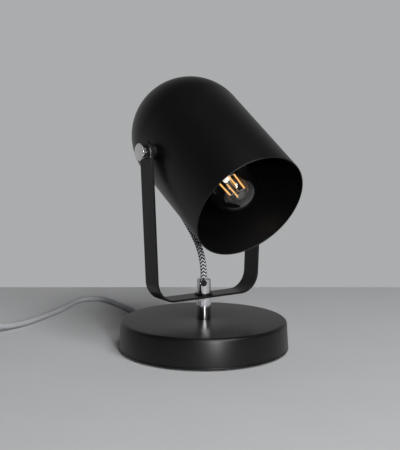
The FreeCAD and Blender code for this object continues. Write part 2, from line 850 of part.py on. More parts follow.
def make_bulb():
    """A clear globe with four filaments round a glass mount, on a screw cap."""
    seat = d.bulb_seat
    cap_top = seat + d.cap_length
    radius = d.globe_radius
    inner = radius - d.glass_wall
    shoulder = root(radius * radius - 15.5 * 15.5)
    inner_shoulder = root(inner * inner - 14.7 * 14.7)
    tip = globe_centre + radius
    neck = d.bulb_neck_radius - d.bulb_neck_step
    in_head(turned("bulb_glass", [
        (neck - d.glass_wall, cap_top - d.bulb_neck_depth),
        (neck, cap_top - d.bulb_neck_depth),
        (neck, cap_top),
        (d.bulb_neck_radius, cap_top + 0.8),
        (15.5, globe_centre - shoulder),
        (radius, globe_centre),
        (0, tip),
        (0, tip - d.glass_wall),
        (inner, globe_centre),
        (14.7, globe_centre - inner_shoulder),
        (d.bulb_neck_radius - d.glass_wall, cap_top + d.glass_wall * 2),
        (neck - d.glass_wall, cap_top + d.glass_wall),
    ], {4: radius, 5: radius, 7: -inner, 8: -inner}))
    in_head(turned("bulb_screw_cap", [
        (9, seat + 3.2), (d.cap_radius, seat + 7), (d.cap_radius, cap_top - 0.05),
        (d.cap_radius - 0.7, cap_top - 0.05), (d.cap_radius - 0.7, seat + 7.4),
        (8.6, seat + 3.9)]))
    in_head(turned("bulb_insulator", [
        (0, seat + 1), (4.5, seat + 1), (8.9, seat + 3.2), (8.5, seat + 3.8), (0, seat + 3.8)]))
    in_head(turned("bulb_contact", [(0, seat), (3, seat), (4.3, seat + 1), (0, seat + 1)]))
    foot = cap_top - d.bulb_neck_depth
    rise = d.bulb_neck_depth
    in_head(turned("bulb_mount", [
        (0, foot), (d.mount_flare, foot), (d.mount_flare * 0.76, foot + rise * 0.5),
        (d.mount_flare * 0.45, foot + rise), (d.mount_waist, foot + rise * 1.42),
        (d.mount_waist * 0.9, globe_centre - d.filament_length * 0.2),
        (d.mount_tip_radius, globe_centre + d.filament_length * 0.5),
        (0, globe_centre + d.mount_tip_rise)]))


def make_filaments():
    """Four rods in a ring, each leaning a little, and the wires that hold both ends of each."""
    low = globe_centre - d.filament_length / 2 - d.filament_set_back
    lean = -3.0
    rods, wires = [], []
    foot = number(d.filament_circle)
    crown = foot + number(d.filament_length) * math.sin(math.radians(lean))
    waist, tip = number(d.mount_waist) + 0.1, number(d.mount_tip_radius) + 0.2
    rise = number(d.filament_length) * math.cos(math.radians(lean))
    count = int(number(d.filament_count))
    for i in range(count):
        around = FreeCAD.Rotation(FreeCAD.Vector(0, 0, 1), 30 + 360 / count * i)
        rod = cylinder(f"filament_{i}", d.filament_radius, d.filament_length)
        rod.Placement = FreeCAD.Placement(
            around.multVec(FreeCAD.Vector(foot, 0, number(low))),
            around.multiply(FreeCAD.Rotation(FreeCAD.Vector(0, 1, 0), lean)))
        rods.append(rod)
        sideways = around.multiply(FreeCAD.Rotation(FreeCAD.Vector(0, 1, 0), 90))
        ends = (("foot", waist, foot, -0.6), ("crown", tip, crown, rise + 0.6))
        for end, start, reach, height in ends:
            wire = cylinder(f"filament_{end}_{i}", 0.35, reach - start + 0.3)
            wire.Placement = FreeCAD.Placement(
                around.multVec(FreeCAD.Vector(start, 0, number(low) + height)), sideways)
            wires.append(wire)
    in_head(keep("filaments", group("filaments", rods)))
    in_head(keep("filament_wires", group("filament_wires", wires)))


make_lampholder()
make_bulb()
make_filaments()


# Cords: the same round textile cord from the plug, through the base and stem, to the lampholder

HEAD_CORD = [
    (0, 0, 66), (0, 0, 75), (0, 3.4, 87.5), (0, 10.2, 98.9), (0, 20.5, 109.8), (0, 46, 131.5),
    (0, 74, 154.5), (0, 99, 177), (0, 112.5, 194), (0, 118.3, 209.7), (0, 116.6, 223.6),
    (0, 108.2, 234.8), (0, 95.4, 240.5), (0, 82.766, 240.207), (0, 73.542, 234.032)]

# The height of the tilt axis for which the head cord's points were chosen.
HEAD_CORD_PIVOT = 184.8

MAINS_CORD = [
    (0, 105.85, 9.5), (0, 119, 9.5), (6.5, 141, 5.1), (16.5, 167, 3.25), (19.8, 196, 3.1),
    (21.2, 226, 3.1), (20.8, 237, 3.1), (18.2, 246, 3.1), (12.1, 252.9, 3.1), (3.5, 256.3, 3.1),
    (-5.6, 255.7, 3.1), (-14.1, 251.2, 3.1), (-24.4, 241.6, 3.1), (-43, 223.5, 3.1),
    (-71, 202, 3.1), (-99, 182, 3.1), (-124, 171.0, 3.8), (-145.016, 163.517, 7.5),
    (-158.056, 160.023, 7.5)]

LINK_CORD = [
    (-217.944, 143.977, 7.5), (-231.100, 140.452, 7.5), (-243.397, 133.352, 6.3),
    (-252.236, 124.513, 4.6), (-256.236, 117.585, 3.6), (-258.100, 110.630, 3.1),
    (-258.1, 104, 3.1)]

TAIL_CORD = [
    (-258.1, 56, 9.1), (-258.1, 49.5, 9.1), (-257.6, 42.0, 8.1), (-256.827, 34.496, 6.85),
    (-256.6, 28, 6.85)]


def make_cords():
    rim = d.cord_radius
    floor_run = d.pad_thickness + rim + 0.4
    inside = [(0, bush_tip, d.bush_height), (0, 62, d.bush_height), (0, 28, floor_run),
              (0, 0, floor_run), (0, 0, grip_top)]
    cord("flex_in_base", inside, rim, arcs={3: tube_bottom - floor_run - 0.2})
    cord("mains_cord", MAINS_CORD, rim)
    cord("link_cord", LINK_CORD, rim)
    cord("tail_cord", TAIL_CORD, rim)
    low, high = HEAD_CORD[0][2], HEAD_CORD[-1][2]
    foot_climb = number(grip_top) - low
    climb = number(d.pivot_height) - HEAD_CORD_PIVOT
    routed = []
    for x, y, z in HEAD_CORD:
        share = min(1.0, max(0.0, (z - low) / (high - low)))
        routed.append((x, y, z + foot_climb * (1 - share) + climb * share))
    cord("head_cord", routed, rim)
    straight = cylinder("flex_in_head", rim, apex + 6 - d.bracket_reach, z=-apex - 6)
    in_head(keep("flex_in_head", group("flex_in_head", [straight])))


def ring_outline(body, name, margin, clearance):
    """Two nested rectangles round the coil's section on its +X side: the tie's outline."""
    sketch = new_sketch(body, name, "XZ_Plane")
    for step in (margin, margin + d.tie_thickness + clearance):
        low, high = d.coil_inner + step, d.coil_outer - step
        add_outline(sketch, [(low, 0 + step), (high, 0 + step), (high, d.coil_height - step),
                             (low, d.coil_height - step)])
    return sketch


def make_coil():
    """The turns lie as one ring; its two ends leave straight, and the tie sits in a waist."""
    edge = 3.0
    body = turned("cord_coil", [
        (d.coil_inner + edge, 0), (d.coil_outer - edge, 0), (d.coil_outer, edge),
        (d.coil_outer, d.coil_height - edge), (d.coil_outer - edge, d.coil_height),
        (d.coil_inner + edge, d.coil_height), (d.coil_inner, d.coil_height - edge),
        (d.coil_inner, edge)])
    for name, height, away in (("end_in", 3.1, True), ("end_out", 9.1, False)):
        sketch = new_sketch(body, name, "XZ_Plane")
        add_circle(sketch, 3.1 - d.coil_outer, height, d.cord_radius)
        pad(body, f"{name}_run", sketch, d.coil_stub, reverse=away)
    waist = ring_outline(body, "tie_waist", -1.0, 1.1)
    pocket(body, "tie_waist_cut", waist, d.tie_width + 0.6, midplane=True)
    place(body, d.coil_x, d.coil_y)
    tie = new_body("coil_tie")
    pad(tie, "tie_band", ring_outline(tie, "tie_outline", 0.0, 0.0), d.tie_width, midplane=True)
    return place(tie, d.coil_x, d.coil_y)


make_cords()
make_coil()


# In-line switch: two moulded shells, a rocker on its axle, two screws and two brass terminals

def rounded(sketch, half_long, half_wide, corner):
    """A rectangle with round corners about the sketch's origin."""
    x, y, r = half_long, half_wide, corner
    add_outline(sketch, [
        (x - r, -y), (x, -y + r), (x, y - r), (x - r, y),
        (-x + r, y), (-x, y - r), (-x, -y + r), (-x + r, -y)], {0: r, 2: r, 4: r, 6: r})


SWITCH_SCREWS = ((17.0, 8.2), (-17.0, -8.2))


def on_switch(thing, lift=0.0):
    return place(thing, d.switch_x, d.switch_y, lift, angle=d.switch_heading)


def switch_shell(label, low, high, floor, wall_side):
    """A tray with round corners; wall_side is +1 for the upper shell and -1 for the lower."""
    body = new_body(label)
    half_long, half_wide = d.switch_length / 2, d.switch_width / 2
    outline = new_sketch(body, f"{label}_outline", "XY_Plane", low)
    rounded(outline, half_long, half_wide, d.switch_corner)
    pad(body, f"{label}_block", outline, high - low)
    hollow = new_sketch(body, f"{label}_hollow", "XY_Plane", floor)
    wall = d.switch_wall
    rounded(hollow, half_long - wall, half_wide - wall, d.switch_corner - wall)
    pocket(body, f"{label}_hollow_cut", hollow, 20, reverse=wall_side < 0)
    return body


def round_rim(body, name, height, radius):
    """Rounds the outer edge that lies at the given height."""
    doc.recompute()
    limit = number(d.switch_width) / 2 - 0.5
    names = []
    for i, edge in enumerate(body.Shape.Edges):
        bounds = edge.BoundBox
        level = number(height)
        flat = abs(bounds.ZMin - level) < 1e-4 and abs(bounds.ZMax - level) < 1e-4
        far = max(abs(bounds.YMin), abs(bounds.YMax), abs(bounds.XMin) - 18,
                  abs(bounds.XMax) - 18)
        if flat and far > limit:
            names.append(f"Edge{i + 1}")
    return fillet_edges(body, name, names, radius)


def make_switch():
    wall = d.switch_wall
    seam, top = d.switch_seam, d.switch_height
    lower = switch_shell("switch_lower", 0, seam, wall, -1)
    round_rim(lower, "switch_lower_rim", 0, 1.5)
    posts = new_sketch(lower, "screw_posts", "XY_Plane", wall - 0.2)
    for x, y in SWITCH_SCREWS:
        add_circle(posts, x, y, 2.6)
    pad(lower, "screw_posts_pad", posts, seam - wall + 0.1)
    for name, radius, depth in (("screw_ways", 1.5, 20), ("screw_recess", 2.2, 1.6)):
        sketch = new_sketch(lower, name, "XY_Plane")
        for x, y in SWITCH_SCREWS:
            add_circle(sketch, x, y, radius)
        pocket(lower, f"{name}_cut", sketch, depth, reverse=True)
    on_switch(lower)

    upper = switch_shell("switch_upper", seam, top, top - wall, 1)
    round_rim(upper, "switch_upper_rim", top, 2.5)
    bosses = new_sketch(upper, "screw_bosses", "XY_Plane", seam + 0.1)
    for x, y in SWITCH_SCREWS:
        add_circle(bosses, x, y, 2.6)
    pad(upper, "screw_bosses_pad", bosses, top - wall - seam)
    lug_in = d.rocker_width / 2 + 0.3
    lugs = new_sketch(upper, "axle_lugs", "XY_Plane", d.rocker_axle_height - 3)
    for low, high in ((lug_in, lug_in + 2.4), (-(lug_in + 2.4), -lug_in)):
        add_outline(lugs, [(-3.5, low), (3.5, low), (3.5, high), (-3.5, high)])
    pad(upper, "axle_lugs_pad", lugs, top - wall - d.rocker_axle_height + 3.2)
    axle = new_sketch(upper, "axle_way", "XZ_Plane")
    add_circle(axle, 0, d.rocker_axle_height, d.rocker_axle_radius + 0.05)
    pocket(upper, "axle_way_cut", axle, 2 * lug_in + 4.9, midplane=True)
    window = new_sketch(upper, "rocker_window", "XY_Plane", top + 1)
    half = d.rocker_reach + d.rocker_gap
    side = d.rocker_width / 2 + 0.3
    add_outline(window, [(-half, -side), (half, -side), (half, side), (-half, side)])
    pocket(upper, "rocker_window_cut", window, wall + 2)
    tapped = new_sketch(upper, "screw_tapping", "XY_Plane", seam - 0.5)
    for x, y in SWITCH_SCREWS:
        add_circle(tapped, x, y, 1.25)
    pocket(upper, "screw_tapping_cut", tapped, 6, reverse=True)
    on_switch(upper)

    rocker = new_body("switch_rocker")
    profile = new_sketch(rocker, "rocker_profile", "XZ_Plane")
    reach, rise = d.rocker_reach, d.rocker_rise
    wide = root(reach * reach - rise * rise)
    foot = root(reach * reach - 1)
    add_outline(profile, [
        (foot, 1), (wide, rise), (0, rise - 1.4), (-wide, rise), (-foot, 1), (-2.6, -3),
        (2.6, -3)], {0: reach, 3: reach})
    pad(rocker, "rocker_block", profile, d.rocker_width, midplane=True)
    axle = new_sketch(rocker, "rocker_axle", "XZ_Plane")
    add_circle(axle, 0, 0, d.rocker_axle_radius)
    pad(rocker, "rocker_axle_pad", axle, d.rocker_width + 4.6, midplane=True)
    rocker.Placement = FreeCAD.Placement(
        FreeCAD.Vector(number(d.switch_x), number(d.switch_y), number(d.rocker_axle_height)),
        FreeCAD.Rotation(FreeCAD.Vector(0, 0, 1), number(d.switch_heading)).multiply(
            FreeCAD.Rotation(FreeCAD.Vector(0, 1, 0), number(d.rocker_tilt))))

    screws, blocks = [], []
    for i, (x, y) in enumerate(SWITCH_SCREWS):
        head = cylinder(f"switch_screw_head_{i}", 2.1, 1.3, x, y, 0.25)
        shank = cylinder(f"switch_screw_shank_{i}", 1.2, 11, x, y, 1.5)
        joined = doc.addObject("Part::Fuse", f"switch_screw_{i}")
        joined.Base, joined.Tool = head, shank
        screws.append(joined)
    for i, side in enumerate((1, -1)):
        blocks.append(box(f"terminal_{i}", side * 22 - 4, -2.5, wall, 8, 5, 4.5))
    on_switch(keep("switch_screws", group("switch_screws", screws)))
    on_switch(keep("switch_contacts", group("switch_contacts", blocks)))


make_switch()


# Plug: a flat two-pin moulding with its own tapered tail

def lie_down(thing):
    """Turns a piece drawn along +Z so that it lies flat and points along the plug's heading."""
    flat = FreeCAD.Rotation(FreeCAD.Vector(0, 0, 1), number(d.plug_heading)).multiply(
        FreeCAD.Rotation(FreeCAD.Vector(0, 1, 0), 90)).multiply(
        FreeCAD.Rotation(FreeCAD.Vector(0, 0, 1), 90))
    height = number(d.plug_thickness) / 2
    thing.Placement = FreeCAD.Placement(
        FreeCAD.Vector(number(d.plug_x), number(d.plug_y), height), flat)
    return thing


def make_plug():
    body = turned("plug_body", [
        (0, 0), (d.cord_radius + 0.9, 0), (d.plug_thickness / 2 - 1.6, d.plug_tail),
        (d.plug_thickness / 2 - 1.6, d.plug_tail + 3), (0, d.plug_tail + 3)])
    outline = new_sketch(body, "plug_outline", "XZ_Plane")
    start, end = d.plug_tail, d.plug_tail + d.plug_length
    half = d.plug_width / 2
    add_outline(outline, [
        (-6, start), (6, start), (9, start + 4), (half, start + 19), (half, end), (-half, end),
        (-half, start + 19), (-9, start + 4)])
    pad(body, "plug_block", outline, d.plug_thickness, midplane=True)
    doc.recompute()
    names = []
    for i, edge in enumerate(body.Shape.Edges):
        bounds = edge.BoundBox
        level = bounds.YMax - bounds.YMin < 1e-4
        if level and abs(abs(bounds.Center.y) - number(d.plug_thickness) / 2) < 1e-3:
            names.append(f"Edge{i + 1}")
    fillet_edges(body, "plug_edges", names, 2.0)
    lie_down(body)
    pins = []
    for i, side in enumerate((1, -1)):
        pin = cylinder(f"pin_{i}", d.pin_radius, d.pin_length, side * d.pin_pitch / 2, 0, end)
        pins.append(pin)
    lie_down(keep("plug_pins", group("plug_pins", pins)))


make_plug()


def finish():
    """Checks every object, then writes each sub-part."""
    doc.recompute()
    for thing in doc.Objects:
        if "Invalid" in thing.State or "Error" in thing.State:
            raise RuntimeError(f"{thing.Label} failed: {thing.State}")
    os.makedirs("parts", exist_ok=True)
    for label, thing in leaves.items():
        shape = thing.Shape
        if shape.isNull() or not shape.isValid() or not shape.Solids:
            raise RuntimeError(f"{label} is not a sound solid")
    for label, thing in leaves.items():
        thing.Shape.exportStep(f"parts/{label}.step")
    print(f"{len(leaves)} sub-parts written")


finish()
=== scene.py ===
import math

import bmesh
import bpy
import numpy as np
from mathutils import Matrix, Vector


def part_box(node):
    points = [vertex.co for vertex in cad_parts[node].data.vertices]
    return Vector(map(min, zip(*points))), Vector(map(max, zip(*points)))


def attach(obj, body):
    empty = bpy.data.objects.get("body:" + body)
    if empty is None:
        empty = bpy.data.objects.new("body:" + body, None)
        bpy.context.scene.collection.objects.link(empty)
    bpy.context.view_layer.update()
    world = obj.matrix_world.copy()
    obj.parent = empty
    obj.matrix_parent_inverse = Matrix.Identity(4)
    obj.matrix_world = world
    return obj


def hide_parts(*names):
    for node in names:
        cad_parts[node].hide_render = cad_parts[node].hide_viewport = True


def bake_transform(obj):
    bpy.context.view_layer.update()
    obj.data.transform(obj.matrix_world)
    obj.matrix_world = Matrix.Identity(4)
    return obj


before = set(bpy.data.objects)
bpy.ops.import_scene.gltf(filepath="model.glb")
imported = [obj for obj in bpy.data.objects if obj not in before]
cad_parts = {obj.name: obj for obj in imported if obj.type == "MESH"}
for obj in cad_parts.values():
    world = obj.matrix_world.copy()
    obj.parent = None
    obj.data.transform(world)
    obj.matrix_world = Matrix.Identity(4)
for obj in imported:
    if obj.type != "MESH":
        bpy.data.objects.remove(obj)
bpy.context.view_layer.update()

scene = bpy.context.scene

# Camera: it looks at the lamp from its left front, a little above the table, with a long lens.
# Its place and lens were fitted to the outlines of base, stem, strap, shade and bulb.
camera = bpy.data.objects.new("camera", bpy.data.cameras.new("camera"))
camera.data.sensor_width = 36.0
camera.data.lens = 60.46
camera.location = (-0.4019, -0.5774, 0.1890)
LOOK_DOWN, LOOK_ROUND = 5.874, -34.55
camera.rotation_euler = (math.radians(90 - LOOK_DOWN), 0, math.radians(LOOK_ROUND))
scene.collection.objects.link(camera)
scene.camera = camera

# Room: a plain pale table top before a plain wall. The wall is only a colour, for the camera and
# for what shows through glass. The rest of the lamp is lit and mirrored by a soft glow, brightest
# from behind and below, and by two softboxes in front.
scene.view_settings.view_transform = "Standard"


class Value:
    """A number that a material works out over the surface, so that sums read as arithmetic."""

    def __init__(self, finish, socket):
        self.finish = finish
        self.socket = socket

    def sum_with(self, operation, first, second):
        return self.finish.node("ShaderNodeMath", {"operation": operation}, {0: first, 1: second})

    def __add__(self, other):
        return self.sum_with("ADD", self, other)

    def __radd__(self, other):
        return self.sum_with("ADD", other, self)

    def __sub__(self, other):
        return self.sum_with("SUBTRACT", self, other)

    def __mul__(self, other):
        return self.sum_with("MULTIPLY", self, other)

    def __gt__(self, other):
        return self.sum_with("GREATER_THAN", self, other)


class Finish:
    """A material: one shader, its fixed numbers, and the nodes that vary it over the surface."""

    def __init__(self, name, **fixed):
        self.material = bpy.data.materials.new(name)
        self.material.use_nodes = True
        self.tree = self.material.node_tree
        self.shader = self.tree.nodes["Principled BSDF"]
        for socket, number in fixed.items():
            self.feed(self.shader.inputs[socket.replace("_", " ")], number)

    def feed(self, socket, given):
        if isinstance(given, Value):
            self.tree.links.new(given.socket, socket)
        else:
            socket.default_value = given

    def node(self, kind, settings=None, sockets=None, output=0):
        """Adds a node: its settings are set first, then its sockets get numbers or links."""
        made = self.tree.nodes.new(kind)
        for name, setting in (settings or {}).items():
            setattr(made, name, setting)
        for name, given in (sockets or {}).items():
            self.feed(made.inputs[name], given)
        return Value(self, made.outputs[output])

    def place(self, scale=(1, 1, 1)):
        """The surface's own coordinates, in metres, scaled to stretch a pattern."""
        spot = self.node("ShaderNodeTexCoord", output="Object")
        return self.node("ShaderNodeVectorMath", {"operation": "MULTIPLY"}, {0: spot, 1: scale})

    def grain(self, scale, detail=2.0, where=None):
        """A soft random pattern over the surface."""
        return self.node("ShaderNodeTexNoise", None, {
            "Vector": where or self.place(), "Scale": scale, "Detail": detail})

    def between(self, share, low, high):
        """A colour that goes from low to high as share goes from 0 to 1."""
        return self.node("ShaderNodeMix", {"data_type": "RGBA"}, {
            0: share, 6: (*low, 1), 7: (*high, 1)}, output=2)

    def paint(self, socket, given):
        """Feeds one of the shader's own sockets."""
        self.feed(self.shader.inputs[socket], given)
        return self

    def relief(self, height, depth):
        """Raises the surface by a height pattern; depth is in metres."""
        bump = self.node("ShaderNodeBump", None, {
            "Height": height, "Distance": depth, "Strength": 1.0})
        return self.paint("Normal", bump)


table_paint = Finish("table_paint", Roughness=0.9, IOR=1.2)
table_grain = table_paint.grain(14, 3)
table_paint.paint("Base Color", table_paint.between(table_grain, (0.56, 0.565, 0.575),
                                                    (0.60, 0.605, 0.615)))
table_paint.relief(table_paint.grain(900), 0.00004)
table = bpy.data.objects.new("table_top", bpy.data.meshes.new("table_top"))
ahead = Vector((0.567, 0.824, 0))
across = Vector((0.824, -0.567, 0))
TABLE_SIDE, TABLE_NEAR, TABLE_FAR, TABLE_DROP = 1.3, -0.52, 0.31, -0.0003
corners = [across * side + ahead * far + Vector((0, 0, TABLE_DROP))
           for side, far in ((-TABLE_SIDE, TABLE_NEAR), (TABLE_SIDE, TABLE_NEAR),
                             (TABLE_SIDE, TABLE_FAR), (-TABLE_SIDE, TABLE_FAR))]
table.data.from_pydata(corners, [], [(0, 1, 2, 3)])
table.data.materials.append(table_paint.material)
scene.collection.objects.link(table)

wall = bpy.data.worlds.new("wall")
wall.use_nodes = True
scene.world = wall
sky = wall.node_tree
ambient = sky.nodes["Background"]
ambient.inputs["Color"].default_value = (1.0, 1.0, 1.0, 1)
heading = sky.nodes.new("ShaderNodeTexCoord")
facing = sky.nodes.new("ShaderNodeVectorMath")
facing.operation = "DOT_PRODUCT"
GLOW_FROM = 0.95 * ahead - 0.12 * across - Vector((0, 0, 0.8))
facing.inputs[1].default_value = GLOW_FROM
aside = sky.nodes.new("ShaderNodeVectorMath")
aside.operation = "DOT_PRODUCT"
GLOW_SPREAD = 0.3
aside.inputs[1].default_value = GLOW_SPREAD * across
breadth = sky.nodes.new("ShaderNodeMath")
breadth.operation = "ABSOLUTE"
reach = sky.nodes.new("ShaderNodeMath")
level = sky.nodes.new("ShaderNodeMapRange")
level.interpolation_type = "SMOOTHSTEP"
for socket, given in (("From Min", -0.5), ("From Max", 1.25), ("To Min", 0.02), ("To Max", 0.40)):
    level.inputs[socket].default_value = given
backdrop = sky.nodes.new("ShaderNodeBackground")
backdrop.inputs["Color"].default_value = (0.405, 0.415, 0.42, 1)
seen = sky.nodes.new("ShaderNodeLightPath")
chosen = sky.nodes.new("ShaderNodeMixShader")
either = sky.nodes.new("ShaderNodeMath")
either.operation = "MAXIMUM"
for source, target in (
        (heading.outputs["Generated"], facing.inputs[0]),
        (heading.outputs["Generated"], aside.inputs[0]),
        (aside.outputs["Value"], breadth.inputs[0]),
        (facing.outputs["Value"], reach.inputs[0]), (breadth.outputs[0], reach.inputs[1]),
        (reach.outputs[0], level.inputs[0]),
        (level.outputs[0], ambient.inputs["Strength"]),
        (seen.outputs["Is Camera Ray"], either.inputs[0]),
        (seen.outputs["Is Transmission Ray"], either.inputs[1]),
        (either.outputs[0], chosen.inputs[0]), (ambient.outputs[0], chosen.inputs[1]),
        (backdrop.outputs[0], chosen.inputs[2]),
        (chosen.outputs[0], sky.nodes["World Output"].inputs["Surface"])):
    sky.links.new(source, target)


def softbox(name, spot, aim, size, power):
    """A rectangular soft light at spot that faces aim."""
    lamp = bpy.data.lights.new(name, "AREA")
    lamp.shape = "RECTANGLE"
    lamp.size, lamp.size_y = size
    lamp.energy = power
    holder = bpy.data.objects.new(name, lamp)
    holder.location = spot
    holder.rotation_euler = (Vector(aim) - Vector(spot)).to_track_quat("-Z", "Y").to_euler()
    scene.collection.objects.link(holder)


softbox("key_softbox", (-0.11, -1.30, 1.55), (0, 0, 0.05), (1.0, 1.0), 26)
softbox("strip_softbox", (-0.62, -1.80, 0.38), (0, 0, 0.05), (0.15, 0.7), 24)

# Cords: two-core flex in a woven black and white zigzag sleeve, 6 mm thick. One length runs from
# the bush in the base to the in-line switch, the next from the switch through the tied coil to
# the plug, and a short one from the grip on the stem to the bush at the top of the shade.
CORD_RADIUS = 0.003
MAINS_ROUTE = [
    (0, 105.85, 9.5), (0, 119, 9.5), (6.5, 141, 5.1), (16.5, 167, 3.25), (19.8, 196, 3.1),
    (21.2, 226, 3.1), (20.8, 237, 3.1), (18.2, 246, 3.1), (12.1, 252.9, 3.1), (3.5, 256.3, 3.1),
    (-5.6, 255.7, 3.1), (-14.1, 251.2, 3.1), (-24.4, 241.6, 3.1), (-43, 223.5, 3.1),
    (-71, 202, 3.1), (-99, 182, 3.1), (-124, 171.0, 3.8), (-145.016, 163.517, 7.5),
    (-158.056, 160.023, 7.5)]
LINK_ROUTE = [
    (-217.944, 143.977, 7.5), (-231.100, 140.452, 7.5), (-243.397, 133.352, 6.3),
    (-252.236, 124.513, 4.6), (-256.236, 117.585, 3.6), (-258.100, 110.630, 3.1),
    (-258.1, 104, 3.1)]
TAIL_ROUTE = [
    (-258.1, 56, 9.1), (-258.1, 49.5, 9.1), (-257.6, 42.0, 8.1), (-256.827, 34.496, 6.85),
    (-256.6, 28, 6.85)]
HEAD_ROUTE = [
    (0, 0, 66), (0, 0, 75), (0, 3.4, 87.5), (0, 10.2, 98.9), (0, 20.5, 109.8), (0, 46, 131.5),
    (0, 74, 154.5), (0, 99, 177), (0, 112.5, 194), (0, 118.3, 209.7), (0, 116.6, 223.6),
    (0, 108.2, 234.8), (0, 95.4, 240.5), (0, 82.766, 240.207), (0, 73.542, 234.032)]


def coil_turns():
    """Four turns lie in two layers of two, and each crosses to the next on the far side."""
    centre_x, centre_y = -0.222, 0.080
    lanes = [(0.0361, 0.0031), (0.0300, 0.0031), (0.0300, 0.0091), (0.0361, 0.0091)]
    per_turn, crossing = 16, 4
    steps = per_turn * len(lanes)
    points = []
    for step in range(steps + 1):
        turn = min(step // per_turn, len(lanes) - 1)
        share = step - turn * per_turn
        radius, height = lanes[turn]
        past = share - (per_turn - crossing)
        if turn < len(lanes) - 1 and past > 0:
            ease = past / crossing
            radius += (lanes[turn + 1][0] - radius) * ease
            height += (lanes[turn + 1][1] - height) * ease
        angle = math.pi + math.tau * share / per_turn
        stretch = 1 / math.cos(math.pi / per_turn)
        wander = 0.0002 * math.sin(3.1 * step)
        reach = (radius + wander) * (stretch if 0 < step < steps else 1)
        points.append((centre_x + reach * math.cos(angle), centre_y + reach * math.sin(angle),
                       height))
    return points


def route_line(points):
    """One smooth open curve along the points, with no thickness."""
    curve = bpy.data.curves.new("line", "CURVE")
    curve.dimensions = "3D"
    curve.resolution_u = 12
    spline = curve.splines.new("NURBS")
    spline.points.add(len(points) - 1)
    for control, spot in zip(spline.points, points):
        control.co = (*spot, 1)
    spline.order_u = 3
    spline.use_endpoint_u = True
    return bpy.data.objects.new("line", curve)


def route_points(points, spacing=0.0012):
    """Evenly spaced points of the smooth curve along the route, and the curve's length."""
    line = route_line(points)
    scene.collection.objects.link(line)
    seen = line.evaluated_get(bpy.context.evaluated_depsgraph_get())
    drawn = bpy.data.meshes.new_from_object(seen)
    spots = np.array([v.co for v in drawn.vertices])
    bpy.data.objects.remove(line)
    bpy.data.meshes.remove(drawn)
    keep = np.append(True, np.linalg.norm(np.diff(spots, axis=0), axis=1) > 1e-7)
    spots = spots[keep]
    along = np.append(0, np.cumsum(np.linalg.norm(np.diff(spots, axis=0), axis=1)))
    count = max(8, int(along[-1] / spacing))
    even = np.linspace(0, along[-1], count + 1)
    return np.stack([np.interp(even, along, spots[:, i]) for i in range(3)], axis=1), along[-1]


def add_piece(name, mesh, *finishes):
    """Puts a mesh in the scene as a piece."""
    made = bpy.data.objects.new(name, mesh)
    scene.collection.objects.link(made)
    for finish in finishes:
        mesh.materials.append(finish.material)
    return made


def braided_tube(name, points, sides=20):
    """A round tube swept along the route. Its map counts turns round it, and metres along it."""
    spots, length = route_points(points)
    ways = np.gradient(spots, axis=0)
    ways /= np.linalg.norm(ways, axis=1)[:, None]
    off_every_way = (0.31, 0.17, 0.93)
    side = np.cross(ways[0], off_every_way)
    verts, rings = [], len(spots)
    for spot, way in zip(spots, ways):
        side = side - way * (side @ way)
        side /= np.linalg.norm(side)
        other = np.cross(way, side)
        for k in range(sides):
            a = math.tau * k / sides
            verts.append(spot + CORD_RADIUS * (math.cos(a) * side + math.sin(a) * other))
    faces, turns, metres = [], [], []
    step = length / (rings - 1)
    for i in range(rings - 1):
        for k in range(sides):
            n = (k + 1) % sides
            faces.append((i * sides + k, i * sides + n, (i + 1) * sides + n, (i + 1) * sides + k))
            turns += [k / sides, (k + 1) / sides, (k + 1) / sides, k / sides]
            metres += [i * step, i * step, (i + 1) * step, (i + 1) * step]
    faces.append(tuple(reversed(range(sides))))
    faces.append(tuple(range((rings - 1) * sides, rings * sides)))
    turns += [0.0] * (2 * sides)
    metres += [0.0] * sides + [length] * sides
    mesh = bpy.data.meshes.new(name)
    mesh.from_pydata(verts, [], faces)
    sleeve = mesh.uv_layers.new(name="sleeve")
    sleeve.data.foreach_set("uv", np.stack([turns, metres], axis=1).ravel())
    mesh.polygons.foreach_set("use_smooth", [True] * len(faces))
    return add_piece(name, mesh), spots, length


def zigzag_sleeve():
    """Black and white yarns whose steps make a zigzag along the cord, over a fine braid. The braid
    also lightens and darkens the white yarns a little, painted shade of the weave on top of its
    relief.
    """
    sleeve = Finish("zigzag_sleeve", Roughness=0.85, Sheen_Weight=0.03)
    zigzags_round, zigzags_per_metre = 4.0, 322.0
    phase, slope, black_share = 0.7, 1.4, 0.56
    yarns_round, yarns_per_metre = 16.0, 1500.0
    spot = sleeve.node("ShaderNodeUVMap", {"uv_map": "sleeve"})
    turns = sleeve.node("ShaderNodeSeparateXYZ", None, {0: spot}, output=0)
    along = sleeve.node("ShaderNodeSeparateXYZ", None, {0: spot}, output=1)
    step = sleeve.node("ShaderNodeMath", {"operation": "PINGPONG"}, {
        0: turns * zigzags_round + phase, 1: 0.5})
    row = sleeve.node("ShaderNodeMath", {"operation": "FRACT"}, {
        0: along * zigzags_per_metre + step * slope})
    white = row > black_share
    yarn_a = sleeve.node("ShaderNodeMath", {"operation": "SINE"}, {
        0: (along * yarns_per_metre + turns * yarns_round) * math.tau})
    yarn_b = sleeve.node("ShaderNodeMath", {"operation": "SINE"}, {
        0: (along * yarns_per_metre - turns * yarns_round) * math.tau})
    braid = yarn_a * yarn_b
    fuzz = sleeve.grain(2600, 2)
    # The braid's share in the white tone is painted shade of the weave.
    shade = white * (0.93 + braid * 0.07) + fuzz * 0.04 - 0.02
    sleeve.paint("Base Color", sleeve.between(shade, (0.003, 0.003, 0.012), (0.90, 0.91, 0.95)))
    sleeve.paint("Roughness", 0.80 + fuzz * 0.15)
    return sleeve.relief(braid * 0.5 + fuzz * 0.5, 0.0001)


def in_metres(route):
    return [(x / 1000, y / 1000, z / 1000) for x, y, z in route]


